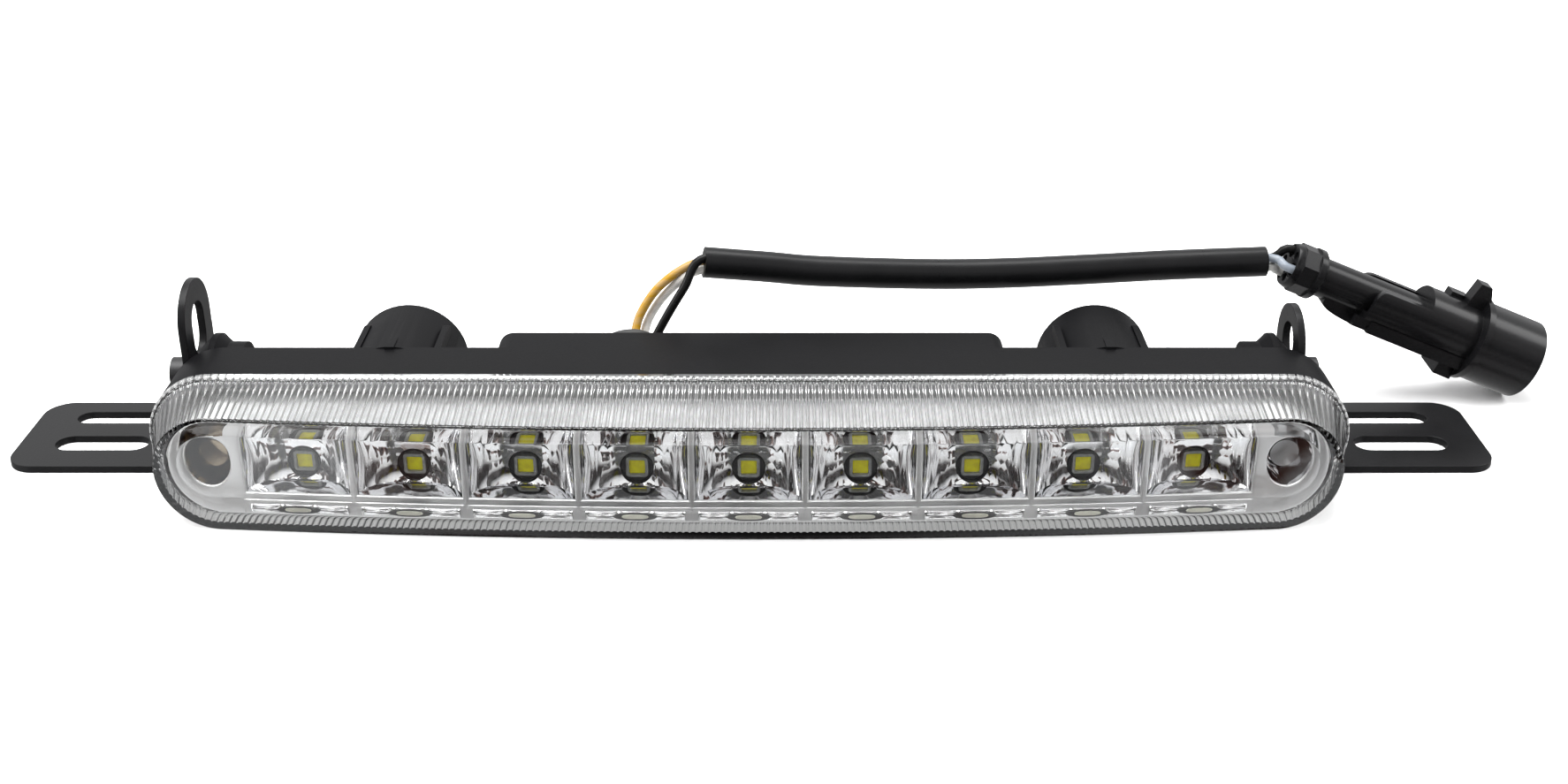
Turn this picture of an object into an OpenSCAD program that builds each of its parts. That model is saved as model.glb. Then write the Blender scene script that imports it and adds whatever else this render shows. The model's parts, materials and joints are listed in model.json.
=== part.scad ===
// Daytime running light with nine LEDs, seen from the front along +Y.
// X runs along the lamp, Z is up from the table, and Y = 0 at the front of the lens before placing.

/* [Lens] */
// Length of the lens and of the housing behind it
lamp_w = 226.4; // [200:0.2:260]
// Height of the lens rim and of the housing
lamp_h = 25; // [22:0.5:30]
// Depth from the front of the lens to its rim
lens_depth = 20.2; // [17:0.2:24]
// Radius of the bow that the front follows in plan
bow_r = 1250; // [900:10:2500]
// How much lower the front outline of the lens is than its rim
front_drop = 2.2; // [1.4:0.2:4]
// How much shorter the front outline is than the rim, both ends together
front_taper = 8.4; // [4:0.2:14]
// Distance from the front outline to the raised window
window_margin = 5.2; // [4:0.2:6.4]
// Depth of the bevel round the raised window
window_bevel = 1.6; // [0.8:0.1:2.4]
// Wall of the lens skirt
lens_wall = 1.7; // [1.4:0.1:2.4]
// Width of one flute on the inside of the skirt
flute_pitch = 1.2; // [1:0.1:3]
// Depth of the flutes
flute_depth = 0.45; // [0.2:0.05:0.7]
// Thickness of the flat rim at the back of the lens
rim_t = 1.2; // [0.8:0.1:2]

/* [Housing] */
// Depth of the housing behind the lens rim
housing_depth = 12; // [8:0.5:18]
// Wall of the housing
housing_wall = 2; // [1.6:0.1:3]
// Width of the driver box on the back
box_w = 98.6; // [70:0.2:120]
// How far the driver box stands out behind the housing
box_depth = 7; // [5:0.5:12]
// Distance between the two round rear bosses
boss_spacing = 138.4; // [120:0.2:160]
// Outer diameter of a rear boss
boss_d = 22.7; // [18:0.1:26]
// Length of a rear boss
boss_len = 20; // [12:0.5:26]
// Wall of a rear boss
boss_wall = 2.4; // [1.6:0.1:3.5]
// Height of the rear bosses' axis above the table
boss_z = 14; // [12:0.1:15]
// Diameter of the lug that takes the bracket bolt
lug_d = 16; // [13:0.2:17]
// Length of that lug along the lamp
lug_len = 8.6; // [8.4:0.2:14]

/* [Reflector and LEDs] */
// Number of LEDs
led_count = 9; // [5:2:9]
// Room at each end of the reflector, beyond the last cell's share
end_room = 12.25; // [11.5:0.05:14]
// How far the LED row lies below the middle of the lens front
led_drop = 0.4; // [0:0.1:1]
// Side of the square LED package
led_side = 3.5; // [2.8:0.1:4]
// Thickness of the LED package
led_t = 0.9; // [0.6:0.1:1.4]
// Thickness of the wall between the mouths of two cells
cell_web = 1.2; // [0.8:0.1:2.4]
// How much lower a cell's mouth is than the window
cell_trim = 0.8; // [0.2:0.1:2]
// Depth of a reflector cell
cell_depth = 5; // [3:0.1:6]
// Diameter of the hole for each LED
led_hole_d = 5.9; // [5.2:0.1:7]
// Thickness of the reflector
reflector_t = 1.2; // [0.8:0.1:1.6]
// Thickness of the metal board that carries the LEDs
board_t = 1.6; // [1:0.1:2]
// Room between that board and the walls of the reflector
board_room = 1.05; // [0.8:0.05:2]

/* [Brackets] */
// How far each bracket reaches out beyond the end of the lamp
plate_reach = 33.3; // [30:0.1:50]
// Thickness of the bracket sheet
sheet_t = 1.5; // [1.2:0.1:2]
// Depth of the flat plate
plate_depth = 28.5; // [26:0.5:36]
// Distance of the plate's front edge behind the front of the lens
plate_y = 27.7; // [25:0.1:29]
// Corner radius of the plate
plate_r = 5.5; // [3:0.5:9]
// Length of the slots in the plate
slot_len = 18.6; // [14:0.2:20]
// Width of the slot nearer the front
near_slot_w = 6; // [4.5:0.1:7]
// Width of the slot further back
far_slot_w = 5; // [4.5:0.1:7]
// Distance of the near slot's middle from the front edge of the plate
near_slot_y = 10; // [7:0.1:11]
// Distance of the far slot's middle from the front edge of the plate
far_slot_y = 21.4; // [19:0.1:22]
// Distance of the near slot's outer end from the end of the plate
slot_margin = 7.2; // [5:0.2:10]
// Width of the upright ear
ear_w = 16.4; // [14:0.2:18]
// Height of the left ear
left_ear_h = 35.4; // [32:0.2:40]
// Height of the right ear
right_ear_h = 30; // [28:0.2:40]
// Width of the slot in the ear
ear_slot_w = 7.4; // [5:0.2:8]
// Height of the lower end of that slot
ear_slot_z = 20; // [19.6:0.1:21]
// Inner face of the left ear, from the left end of the lamp
left_seat = 5; // [3:0.1:8]
// Inner face of the right ear, from the right end of the lamp
right_seat = 7.6; // [3:0.1:8]
// Height of the bolts above the table
bolt_z = 15.6; // [14.5:0.1:16.2]
// Thread diameter of the bolts
bolt_d = 4; // [3:0.5:4]
// Head diameter of the bolts
bolt_head_d = 6.4; // [5.5:0.1:7]
// Head length of the bolts
bolt_head_l = 4.8; // [3:0.1:6]

/* [Cable] */
// Diameter of the cable gland
gland_d = 17.6; // [14:0.2:20]
// How far the gland stands out behind the driver box
gland_len = 5; // [3:0.2:8]
// Distance from the left end of the driver box to the gland's axis
gland_inset = 25.8; // [22:0.2:30]
// Diameter of a wire
wire_d = 1.8; // [1.4:0.1:2.2]
// Outer diameter of the sleeve over the wires
sleeve_d = 6.2; // [5.6:0.1:6.6]
// Outer diameter of the connector's round shroud
shroud_d = 16.8; // [15.5:0.1:19]
// Length of the shroud in front of its collar
shroud_len = 12.8; // [10:0.1:16]
// Wall of the shroud
shroud_wall = 1.2; // [1:0.1:1.8]
// Diameter of the connector's slim rear tube
tube_d = 8.2; // [7.6:0.1:9]
// Diameter of the seal retainer at the connector's rear
retainer_d = 10.8; // [10:0.1:12]

/* [Hidden] */
$fn = 48;
gap = 0.3;
// Steps round the bow cylinders, fine enough to follow their true curve
bow_fn = 720;

// Places along Y, from the front of the lens back to the far edge of the plates
mid_z = lamp_h / 2;
end_r = lamp_h / 2;
front_r = (lamp_h - front_drop) / 2;
front_z = front_r;
led_z = front_z - led_drop;
housing_y = lens_depth;
back_y = housing_y + housing_depth;
box_y = back_y + box_depth;
total_y = plate_y + plate_depth;
cell_y = 5.8;
cell_z = led_z + 2;
led_y = cell_y + cell_depth;
board_y = led_y + 0.2;
ear_y = back_y + gap + ear_w / 2;
overall_w = lamp_w + 2 * plate_reach;
left_seat_x = lamp_w / 2 - left_seat;
right_seat_x = lamp_w / 2 - right_seat;
gland_x = gland_inset - box_w / 2;
gland_z = lamp_h - gland_d / 2;

// Moves the whole lamp so that the origin is in the middle of its footprint
module placed() translate([0, -total_y / 2, 0]) children();

// Turns children about the centre of the bow, to the place x along it
module on_bow(x) {
    translate([0, bow_r, 0])
        rotate([0, 0, asin(x / bow_r)])
            translate([0, -bow_r, 0]) children();
}

// Upright stadium in XZ, extruded along +Y from y
module stadium(w, h, y, depth, z = mid_z) {
    translate([0, y + depth, z]) rotate([90, 0, 0])
        linear_extrude(depth) stadium_2d(w, h);
}

module stadium_2d(w, h) {
    square([w - h, h], center = true);
    for (side = [-1, 1]) translate([side * (w - h) / 2, 0]) circle(d = h);
}

module rounded_2d(w, h, r) {
    square([w - 2 * r, h], center = true);
    square([w, h - 2 * r], center = true);
    for (x = [-1, 1], z = [-1, 1]) translate([x * (w / 2 - r), z * (h / 2 - r)]) circle(r = r);
}

// Ring of the bow, between two distances behind the front
module bow_slab(y1, y2, z1, z2) {
    translate([0, bow_r, z1]) difference() {
        cylinder(r = bow_r - y1, h = z2 - z1, $fn = bow_fn);
        translate([0, 0, -1]) cylinder(r = bow_r - y2, h = z2 - z1 + 2, $fn = bow_fn);
    }
}

// Cylinder along +Y
module rod_y(d, y1, y2, x = 0, z = 0) {
    translate([x, y2, z]) rotate([90, 0, 0]) cylinder(d = d, h = y2 - y1);
}

// Cylinder along +X
module rod_x(d, x1, x2, y, z, d2 = 0) {
    translate([x1, y, z]) rotate([0, 90, 0])
        cylinder(d1 = d, d2 = d2 > 0 ? d2 : d, h = x2 - x1);
}

// Box between two corners
module block(a, b) translate(a) cube(b - a);

// Loft of the lens: rings of points that follow a stadium and the bow
function bow(x) = bow_r - sqrt(bow_r * bow_r - x * x);

// One outline as points [x, z], from the top left corner round to the right
function outline(hl, r, z, flats, arcs) = concat(
    [for (i = [0:flats - 1]) [-(hl - r) + 2 * (hl - r) * i / flats, z + r]],
    [for (i = [0:arcs - 1]) let (a = 90 - 180 * i / arcs) [hl - r + r * cos(a), z + r * sin(a)]],
    [for (i = [0:flats - 1]) [(hl - r) - 2 * (hl - r) * i / flats, z - r]],
    [for (i = [0:arcs - 1]) let (a = -90 - 180 * i / arcs) [-(hl - r) + r * cos(a), z + r * sin(a)]]
);

// The same outline pushed in at every second point, which makes the flutes
function fluted(points, depth) = [for (i = [0:len(points) - 1])
    let (
        n = len(points),
        a = points[(i + n - 1) % n],
        b = points[(i + 1) % n],
        t = (b - a) / norm(b - a)
    )
    i % 2 == 0 ? points[i] : points[i] + depth * [t.y, -t.x]];

function ring(points, y, bowed) = [for (p = points) [p.x, y + (bowed ? bow(p.x) : 0), p.y]];

// Faces between ring k and the next one
function sides(k, n) = [for (i = [0:n - 1])
    let (j = (i + 1) % n) each [
        [k * n + i, (k + 1) * n + j, k * n + j],
        [k * n + i, (k + 1) * n + i, (k + 1) * n + j]
    ]];

// Faces across a ring in upright strips, so that a bowed end stays on its bow
function strips(k, flats, arcs, flip) =
    let (
        n = 2 * (flats + arcs),
        low_left = 2 * flats + arcs,
        middle = [for (i = [0:flats - 1]) each [
            [i, low_left - i - 1, low_left - i],
            [i, i + 1, low_left - i - 1]
        ]],
        right = [for (i = [flats + 1:flats + arcs - 1]) [flats, i, i + 1]],
        left = [for (i = [low_left:n - 2]) [0, i, i + 1]]
    )
    [for (f = concat(middle, right, left)) k * n * [1, 1, 1] + (flip ? [f[0], f[2], f[1]] : f)];

module loft(rings, flats, arcs) {
    n = 2 * (flats + arcs);
    last = len(rings) - 1;
    polyhedron(
        points = [for (r = rings) each r],
        faces = concat(
            strips(0, flats, arcs, false),
            [for (k = [0:last - 1]) each sides(k, n)],
            strips(last, flats, arcs, true)
        ),
        convexity = 8
    );
}

skirt_y = window_bevel + 0.1;
front_hl = (lamp_w - front_taper) / 2;
skirt_hl = lamp_w / 2 - 0.6;
skirt_r = end_r - 0.6;
window_r = front_r - window_margin;
window_z = cell_z;
bevel_r = (front_r + window_r) / 2;

module lens_body() {
    flats = 30;
    arcs = 14;
    loft([
        ring(outline(front_hl - window_margin, window_r, window_z, flats, arcs), 0, true),
        ring(outline(front_hl - window_margin / 2, bevel_r, (window_z + front_z) / 2 + 0.3, flats, arcs),
            window_bevel, true),
        ring(outline(front_hl, front_r, front_z, flats, arcs), skirt_y, true),
        ring(outline(skirt_hl, skirt_r, mid_z, flats, arcs), lens_depth - rim_t / 2, false)
    ], flats, arcs);
}

// Inside of the skirt, with flutes that run from the front wall to the rim
module lens_inside() {
    flats = 2 * round((lamp_w - lamp_h) / flute_pitch / 2);
    arcs = 2 * round(PI * (end_r - lens_wall) / flute_pitch);
    n = 2 * flats;
    front = outline(front_hl - lens_wall, front_r - lens_wall, front_z, n, arcs);
    rear = outline(skirt_hl - lens_wall, skirt_r - lens_wall, mid_z, n, arcs);
    loft([
        ring(fluted(front, flute_depth), skirt_y + lens_wall, true),
        ring(fluted(rear, flute_depth), lens_depth + 1, false)
    ], n, arcs);
}

module lens() {
    color([0.9, 0.93, 0.95, 0.4]) placed() difference() {
        union() {
            lens_body();
            stadium(lamp_w, lamp_h, lens_depth - rim_t, rim_t);
        }
        lens_inside();
    }
}

// Bead of sealant between the rim and the front edge of the housing
module lens_seal() {
    color("dimgray") placed() difference() {
        stadium(lamp_w - 2 * housing_wall, lamp_h - 2 * housing_wall, housing_y, 1.5);
        stadium(lamp_w - 4 * housing_wall, lamp_h - 4 * housing_wall, housing_y - 1, 4);
    }
}

// Three radial ribs that stiffen a rear boss against the back wall
module boss_ribs(x) {
    rib_reach = 5;
    for (a = [15, 90, 165])
        translate([x, back_y, boss_z]) rotate([0, -a, 0])
            translate([0, 0, -rib_t / 2]) linear_extrude(rib_t)
                polygon([[boss_d / 2 - 1, -1], [boss_d / 2 + (a == 90 ? 0.2 : rib_reach), -1],
                    [boss_d / 2 + (a == 90 ? 0.2 : rib_reach), 2], [boss_d / 2 - 1, boss_len * 0.6]]);
}

// Lug that swells to a crown and ends in a cone at the ear
module end_lug(side, seat_x) {
    inner_x = seat_x - lug_len;
    cone_x = seat_x - lug_cone;
    crown_x = cone_x - lug_crown;
    ramp_x = crown_x - lug_ramp;
    neck_d = lug_d - lug_swell;
    mirror([side < 0 ? 1 : 0, 0, 0]) {
        rod_x(neck_d, inner_x, ramp_x + 0.1, ear_y, bolt_z);
        rod_x(neck_d, ramp_x, crown_x + 0.1, ear_y, bolt_z, lug_d);
        rod_x(lug_d, crown_x, cone_x + 0.1, ear_y, bolt_z);
        rod_x(lug_d, cone_x, seat_x, ear_y, bolt_z, lug_d - 2 * lug_cone);
        block([inner_x, back_y - 0.5, bolt_z - 3], [crown_x, ear_y, bolt_z + neck_d / 2 - 0.1]);
    }
}

lug_cone = 2.4;
lug_crown = 1.1;
lug_ramp = 1.8;
lug_swell = 3.4;

module driver_box(grow, y1, y2) {
    r = 3;
    w = box_w - 2 * grow;
    z1 = box_z + grow;
    z2 = lamp_h - grow;
    translate([0, y2, (z1 + z2) / 2]) rotate([90, 0, 0])
        linear_extrude(y2 - y1) rounded_2d(w, z2 - z1, r);
}

module housing() color([0.06, 0.06, 0.065]) placed() {
    seats();
    difference() {
        union() {
            stadium(lamp_w, lamp_h, housing_y, housing_depth);
            driver_box(0, back_y - 1, box_y);
            for (side = [-1, 1]) {
                rod_y(boss_d, back_y - 0.5, back_y + boss_len, side * boss_spacing / 2, boss_z);
                boss_ribs(side * boss_spacing / 2);
            }
            end_lug(-1, left_seat_x);
            end_lug(1, right_seat_x);
        }
        stadium(lamp_w - 2 * housing_wall, lamp_h - 2 * housing_wall, housing_y - 1,
            housing_depth - housing_wall + 1);
        driver_box(housing_wall, back_y - housing_wall - 1, box_y - housing_wall);
        for (side = [-1, 1])
            rod_y(boss_d - 2 * boss_wall, back_y + 1, back_y + boss_len + 1,
                side * boss_spacing / 2, boss_z);
        rod_y(gland_d - 6, box_y - housing_wall - 1, box_y + 1, gland_x, gland_z);
        rod_x(insert_d, -left_seat_x - 1, -left_seat_x + insert_l, ear_y, bolt_z);
        rod_x(insert_d, right_seat_x - insert_l, right_seat_x + 1, ear_y, bolt_z);
    }
}

// Posts and ribs inside the housing, which carry the reflector and the two boards
module seats() {
    for (side = [-1, 1]) {
        on_bow(side * pod_x) difference() {
            rod_y(post_d, cell_y + pod_len, back_y - bow(pod_x) - housing_wall / 2, 0, cell_z);
            rod_y(screw_d, cell_y + pod_len - 1, cell_y + pod_len + screw_grip, 0, cell_z);
        }
        for (x = [box_w / 2 + rib_inset, led_x(led_count - 1)]) on_bow(side * x)
            block([-rib_t / 2, board_y + led_t + board_t + rib_gap, led_z - rib_h / 2],
                [rib_t / 2, back_y - bow(x) - housing_wall / 2, led_z + rib_h / 2]);
        rod_y(post_d, driver_y + driver_t, box_y - housing_wall / 2, side * driver_post_x, driver_z);
    }
}

post_d = 6;
screw_d = 2.8;
screw_grip = 7;
pod_d = 13;
pod_len = 7;
pod_bore = 10.6;
pod_floor = 1.6;
pod_inset = 6.15;
rib_inset = 2.7;
rib_t = 1.8;
rib_h = 9;
rib_gap = 0.05;
driver_t = 1.6;
driver_y = box_y - housing_wall - 5.2;
// Lower edge of the driver box above the table
box_z = 3;
driver_room = 2;
driver_z = (box_z + lamp_h) / 2;
driver_inset = 5.3;
driver_w = box_w - 2 * (housing_wall + driver_inset);
driver_h = lamp_h - box_z - 2 * housing_wall - 2 * driver_room;
driver_post_x = driver_w / 2 - 5;

insert_d = bolt_d + 2;
insert_l = 8;

module bolt_insert(side, seat_x) {
    color("goldenrod") placed() mirror([side < 0 ? 1 : 0, 0, 0]) difference() {
        rod_x(insert_d, seat_x - insert_l, seat_x, ear_y, bolt_z);
        rod_x(bolt_d, seat_x - insert_l - 1, seat_x + 1, ear_y, bolt_z);
    }
}

module bolt(side, seat_x) {
    head_x = seat_x + sheet_t;
    color([0.08, 0.08, 0.08]) placed() mirror([side < 0 ? 1 : 0, 0, 0]) difference() {
        union() {
            rod_x(bolt_head_d, head_x, head_x + bolt_head_l, ear_y, bolt_z);
            rod_x(bolt_d, seat_x - insert_l + 1, head_x + 1, ear_y, bolt_z);
        }
        translate([head_x + bolt_head_l - 2.2, ear_y, bolt_z]) rotate([0, 90, 0])
            cylinder(d = 3.4, h = 3, $fn = 6);
    }
}

// Mouth and waist of one reflector cell in plan, with scallops on both sides of the LED
function scallop(a, b, sag, steps) = [for (i = [0:steps - 1])
    let (t = i / steps, d = b - a, m = [d.y, -d.x] / norm(d))
    a + t * d + 4 * t * (1 - t) * sag * m];

module cell_plan() {
    w = cell_w / 2;
    d = cell_depth;
    floor_w = led_hole_d / 2 + 0.25;
    reach = w - floor_w;
    half = [[floor_w, d], [floor_w + 0.33 * reach, d * 0.86], [floor_w + 0.64 * reach, d * 0.6],
        [floor_w + 0.92 * reach, d * 0.22], [w, 0]];
    right = [for (i = [0:len(half) - 2]) each scallop(half[i], half[i + 1], 0.22, 4)];
    points = concat([for (p = right) p], [half[4], [w, -1]]);
    mirrored = [for (i = [len(points) - 1:-1:0]) [-points[i].x, points[i].y]];
    translate([0, cell_y]) polygon(concat(points, mirrored));
}

// One cell: the scalloped trough, kept to the rounded mouth
module cell_pocket() {
    intersection() {
        translate([0, 0, cell_z - cell_h / 2]) linear_extrude(cell_h) cell_plan();
        translate([0, cell_y + cell_depth + 1, cell_z]) rotate([90, 0, 0])
            linear_extrude(cell_depth + 3) rounded_2d(cell_w, cell_h, 2);
    }
    rod_y(led_hole_d, cell_y, led_y + 3, 0, led_z);
}

function led_x(i) = (i - (led_count - 1) / 2) * led_pitch;

// Outline of the reflector, a clearance inside the flutes of the lens
reflector_hl = front_hl - lens_wall - flute_depth - 1;
led_pitch = 2 * (reflector_hl - end_room) / led_count;
cell_w = led_pitch - cell_web;
cell_h = 2 * window_r - cell_trim;
pod_x = reflector_hl - pod_inset;
reflector_r = front_r - lens_wall - flute_depth - 1;
reflector_depth = 9;
board_h = 2 * (reflector_r - reflector_t - board_room);
// Wall behind a cell, in front of the board
cell_floor = 0.8;

module reflector() {
    color([0.8, 0.8, 0.82]) placed() difference() {
        union() {
            intersection() {
                stadium(2 * reflector_hl, 2 * reflector_r, 0, lens_depth, front_z);
                bow_slab(cell_y, cell_y + reflector_depth, 0, lamp_h);
            }
            for (side = [-1, 1]) on_bow(side * pod_x)
                rod_y(pod_d, cell_y + 1, cell_y + pod_len, 0, cell_z);
        }
        difference() {
            intersection() {
                stadium(2 * (reflector_hl - reflector_t), 2 * (reflector_r - reflector_t),
                    0, lens_depth + 4, front_z);
                bow_slab(led_y + cell_floor, cell_y + reflector_depth + 4, -1, lamp_h + 1);
            }
            for (side = [-1, 1]) on_bow(side * pod_x)
                rod_y(pod_d, cell_y + 1, cell_y + pod_len, 0, cell_z);
        }
        for (i = [0:led_count - 1]) on_bow(led_x(i)) cell_pocket();
        for (side = [-1, 1]) on_bow(side * pod_x) {
            rod_y(pod_bore, cell_y - 3, cell_y + pod_len - pod_floor, 0, cell_z);
            rod_y(screw_d, cell_y, cell_y + pod_len + 2, 0, cell_z);
        }
    }
}

module led_board() {
    half = led_x(led_count - 1) + 6;
    color([0.85, 0.85, 0.82]) placed() intersection() {
        bow_slab(board_y + led_t, board_y + led_t + board_t, led_z - board_h / 2, led_z + board_h / 2);
        block([-half, 0, 0], [half, lens_depth, lamp_h]);
    }
}

module led(i) {
    dome = led_side * 0.74;
    if (i < led_count) color([0.75, 0.75, 0.7]) placed() on_bow(led_x(i)) {
        block([-led_side / 2, board_y + 0.2, led_z - led_side / 2],
            [led_side / 2, board_y + led_t, led_z + led_side / 2]);
        block([-dome / 2, board_y, led_z - dome / 2],
            [dome / 2, board_y + 0.3, led_z + dome / 2]);
    }
}

module reflector_screw(side) {
    head_y = cell_y + pod_len - pod_floor;
    color("silver") placed() on_bow(side * pod_x) {
        rod_y(screw_d + 2.6, head_y - 2.2, head_y, 0, cell_z);
        rod_y(screw_d, head_y - 0.1, cell_y + pod_len + screw_grip, 0, cell_z);
    }
}

module driver_board() {
    color("darkgreen") placed()
        block([-driver_w / 2, driver_y, driver_z - driver_h / 2],
            [driver_w / 2, driver_y + driver_t, driver_z + driver_h / 2]);
}

coil_x = 20;
capacitor_x = 4;
chip_x = -15;

module driver_coil() {
    coil_d = 8;
    coil_h = 5;
    color("dimgray") placed() difference() {
        rod_y(coil_d, driver_y - coil_h, driver_y, coil_x, driver_z);
        rod_y(coil_d * 0.4, driver_y - coil_h - 1, driver_y - 2, coil_x, driver_z);
    }
}

module driver_capacitor() {
    can_d = 6.3;
    can_h = 5.4;
    foot_t = 0.5;
    color("black") placed() {
        rod_y(can_d, driver_y - can_h, driver_y - foot_t / 2, capacitor_x, driver_z);
        block([capacitor_x - can_d / 2, driver_y - foot_t, driver_z - can_d / 2],
            [capacitor_x + can_d / 2, driver_y, driver_z + can_d / 2]);
    }
}

module driver_chip() {
    chip = [6, 1.5, 5];
    leg = 0.6;
    color("black") placed() {
        translate([chip_x, driver_y - 0.2 - chip.y / 2, driver_z]) cube(chip, center = true);
        for (k = [-1.5:1.5]) translate([chip_x + k * 1.5, driver_y - leg / 2, driver_z])
            cube([leg, leg, chip.z + 3], center = true);
    }
}

module cable_gland() {
    face_y = box_y + gland_len;
    color([0.05, 0.05, 0.05]) placed() difference() {
        union() {
            rod_y(gland_d, box_y, box_y + 1.8, gland_x, gland_z);
            translate([gland_x, box_y + 1.8, gland_z]) rotate([-90, 0, 0])
                cylinder(d1 = gland_d, d2 = gland_d - 5, h = gland_len - 1.8);
            rod_y(gland_d - 6.2, box_y - housing_wall, box_y + 1, gland_x, gland_z);
        }
        for (k = [-1, 1]) rod_y(1.2, face_y - 1, face_y + 1, gland_x + k * 2.4, gland_z - 3);
    }
}

// Flat plate with a bent-up ear, as one sheet
module bracket(side, seat_x, ear_h) {
    tip_x = overall_w / 2;
    top_r = ear_w / 2;
    bend = 1;
    slot_top = ear_h - (ear_w - ear_slot_w) / 2;
    color([0.05, 0.05, 0.055]) placed() mirror([side < 0 ? 1 : 0, 0, 0]) difference() {
        union() {
            linear_extrude(sheet_t) difference() {
                plate_2d(seat_x + sheet_t + bend, tip_x);
                for (s = [[near_slot_y, near_slot_w, 0], [far_slot_y, far_slot_w, 0.6]])
                    translate([tip_x - slot_margin - s[2] - slot_len / 2, plate_y + s[0]])
                        stadium_2d(slot_len, s[1]);
            }
            translate([0, ear_y + ear_w / 2, 0]) rotate([90, 0, 0])
                linear_extrude(ear_w) bend_2d(seat_x, bend);
            translate([seat_x, ear_y, 0]) rotate([90, 0, 90]) linear_extrude(sheet_t) {
                translate([-top_r, sheet_t + bend]) square([ear_w, ear_h - top_r - sheet_t - bend]);
                translate([0, ear_h - top_r]) circle(r = top_r);
            }
        }
        rod_x(bolt_d + 0.2, seat_x - 1, seat_x + sheet_t + 1, ear_y, bolt_z);
        translate([seat_x - 1, ear_y, 0]) rotate([90, 0, 90]) linear_extrude(sheet_t + 2)
            translate([0, (ear_slot_z + slot_top) / 2]) rotate(90)
                stadium_2d(max(slot_top - ear_slot_z, ear_slot_w + 0.1), ear_slot_w);
    }
}

module plate_2d(x1, x2) {
    translate([x1, plate_y]) square([x2 - x1 - plate_r, plate_depth]);
    translate([x1, plate_y + plate_r]) square([x2 - x1, plate_depth - 2 * plate_r]);
    for (y = [plate_y + plate_r, plate_y + plate_depth - plate_r])
        translate([x2 - plate_r, y]) circle(r = plate_r);
}

// Quarter bend between the ear and the plate
module bend_2d(x, r) {
    intersection() {
        difference() {
            translate([x + sheet_t + r, sheet_t + r]) circle(r = sheet_t + r);
            translate([x + sheet_t + r, sheet_t + r]) circle(r = r);
        }
        translate([x, 0]) square([sheet_t + r, sheet_t + r]);
    }
}

// Tube swept along a list of points
function unit(v) = v / norm(v);
function tangent(p, i) = unit(p[min(i + 1, len(p) - 1)] - p[max(i - 1, 0)]);
function smooth(p, steps) = concat([for (i = [0:len(p) - 2]) for (k = [0:steps - 1])
    let (
        t = k / steps,
        a = p[max(i - 1, 0)], b = p[i], c = p[i + 1], d = p[min(i + 2, len(p) - 1)]
    )
    0.5 * (2 * b + t * (c - a) + t * t * (2 * a - 5 * b + 4 * c - d)
        + t * t * t * (3 * b - a - 3 * c + d))], [p[len(p) - 1]]);

module tube(points, d, first, last, fn) {
    n = len(points);
    rings = [for (i = [0:n - 1])
        let (
            t = i == 0 ? first : i == n - 1 ? last : tangent(points, i),
            u = unit(cross(t, [0.02, 0.1, 1])),
            v = cross(t, u)
        )
        for (k = [0:fn - 1]) points[i] + d / 2 * (cos(360 * k / fn) * u + sin(360 * k / fn) * v)];
    polyhedron(
        points = rings,
        faces = concat(
            [[for (k = [0:fn - 1]) k]],
            [for (i = [0:n - 2]) for (k = [0:fn - 1])
                let (a = i * fn + k, b = i * fn + (k + 1) % fn)
                each [[a, a + fn, b + fn], [a, b + fn, b]]],
            [[for (k = [fn - 1:-1:0]) (n - 1) * fn + k]]
        ),
        convexity = 6
    );
}

// Routes of the cable, from the gland to the connector
gland_face_y = box_y + gland_len;
sleeve_route = [[-9.5, 52.2, 34.6], [3, 54.2, 32.8], [14, 55.8, 31.2], [36, 59.2, 29.2],
    [52, 61.2, 28.6], [69, 63.2, 28.6], [86, 64.8, 28.9], [106.2, 65.6, 29.4]];
sleeve_first = unit([1, 0.16, -0.14]);
sleeve_last = unit([1, 0.06, 0.02]);
end_gap = 0.12;

module sleeve() tube(smooth(sleeve_route, 4), sleeve_d, sleeve_first, sleeve_last, 12);

// A wire from the gland's face to a place on the sleeve's open end
module lead(x, z, climb, bend, off) {
    start = [gland_x + x, gland_face_y, gland_z + z];
    end = sleeve_route[0] + off - end_gap * sleeve_first;
    tube(smooth([start, start + [0, 1.6, 0.3], start + climb, end - bend, end - 2.8 * sleeve_first, end], 4),
        wire_d, [0, 1, 0], sleeve_first, 8);
}

across = unit(cross(sleeve_first, [0, 0, 1]));
upward = cross(across, sleeve_first);
across_2 = unit(cross(sleeve_last, [0, 0, 1]));
upward_2 = cross(across_2, sleeve_last);

module wire_yellow() {
    color("gold") placed()
        lead(-1.5, 3, [1.4, 4.2, 5.2], [9.97, 1.71, 5.05], 1.25 * upward + 0.1 * across);
}

module wire_white() {
    color("white") placed()
        lead(1.2, 1, [0.9, 5.6, 5.4], [6.51, 1.55, 4.42], -0.6 * upward - 1.2 * across);
}

module wire_black() {
    color([0.05, 0.05, 0.05]) placed()
        lead(3.4, 3.2, [1.3, 3.8, 5.2], [5.03, 1.48, 3.32], -0.9 * upward + 1.1 * across);
}

module cable_sleeve() color([0.04, 0.04, 0.04]) placed() sleeve();

// The connector hangs on the cable and its shroud touches the table
slope = 22.6;
mouth = [162.6, 64.4, shroud_d / 2 * cos(slope)];
along = [cos(slope), 0, -sin(slope)];
collar_t = 1.4;
body_len = 42;
body_d = 13.6;
retainer_len = 6.8;

// Puts children on the connector's axis, with x = 0 at the rear of the retainer
tail_d = wire_d + 0.4;
connector_len = body_len + collar_t + shroud_len;
rear = mouth - connector_len * along;

module on_axis() translate(rear) rotate([0, slope, 0]) children();

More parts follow.
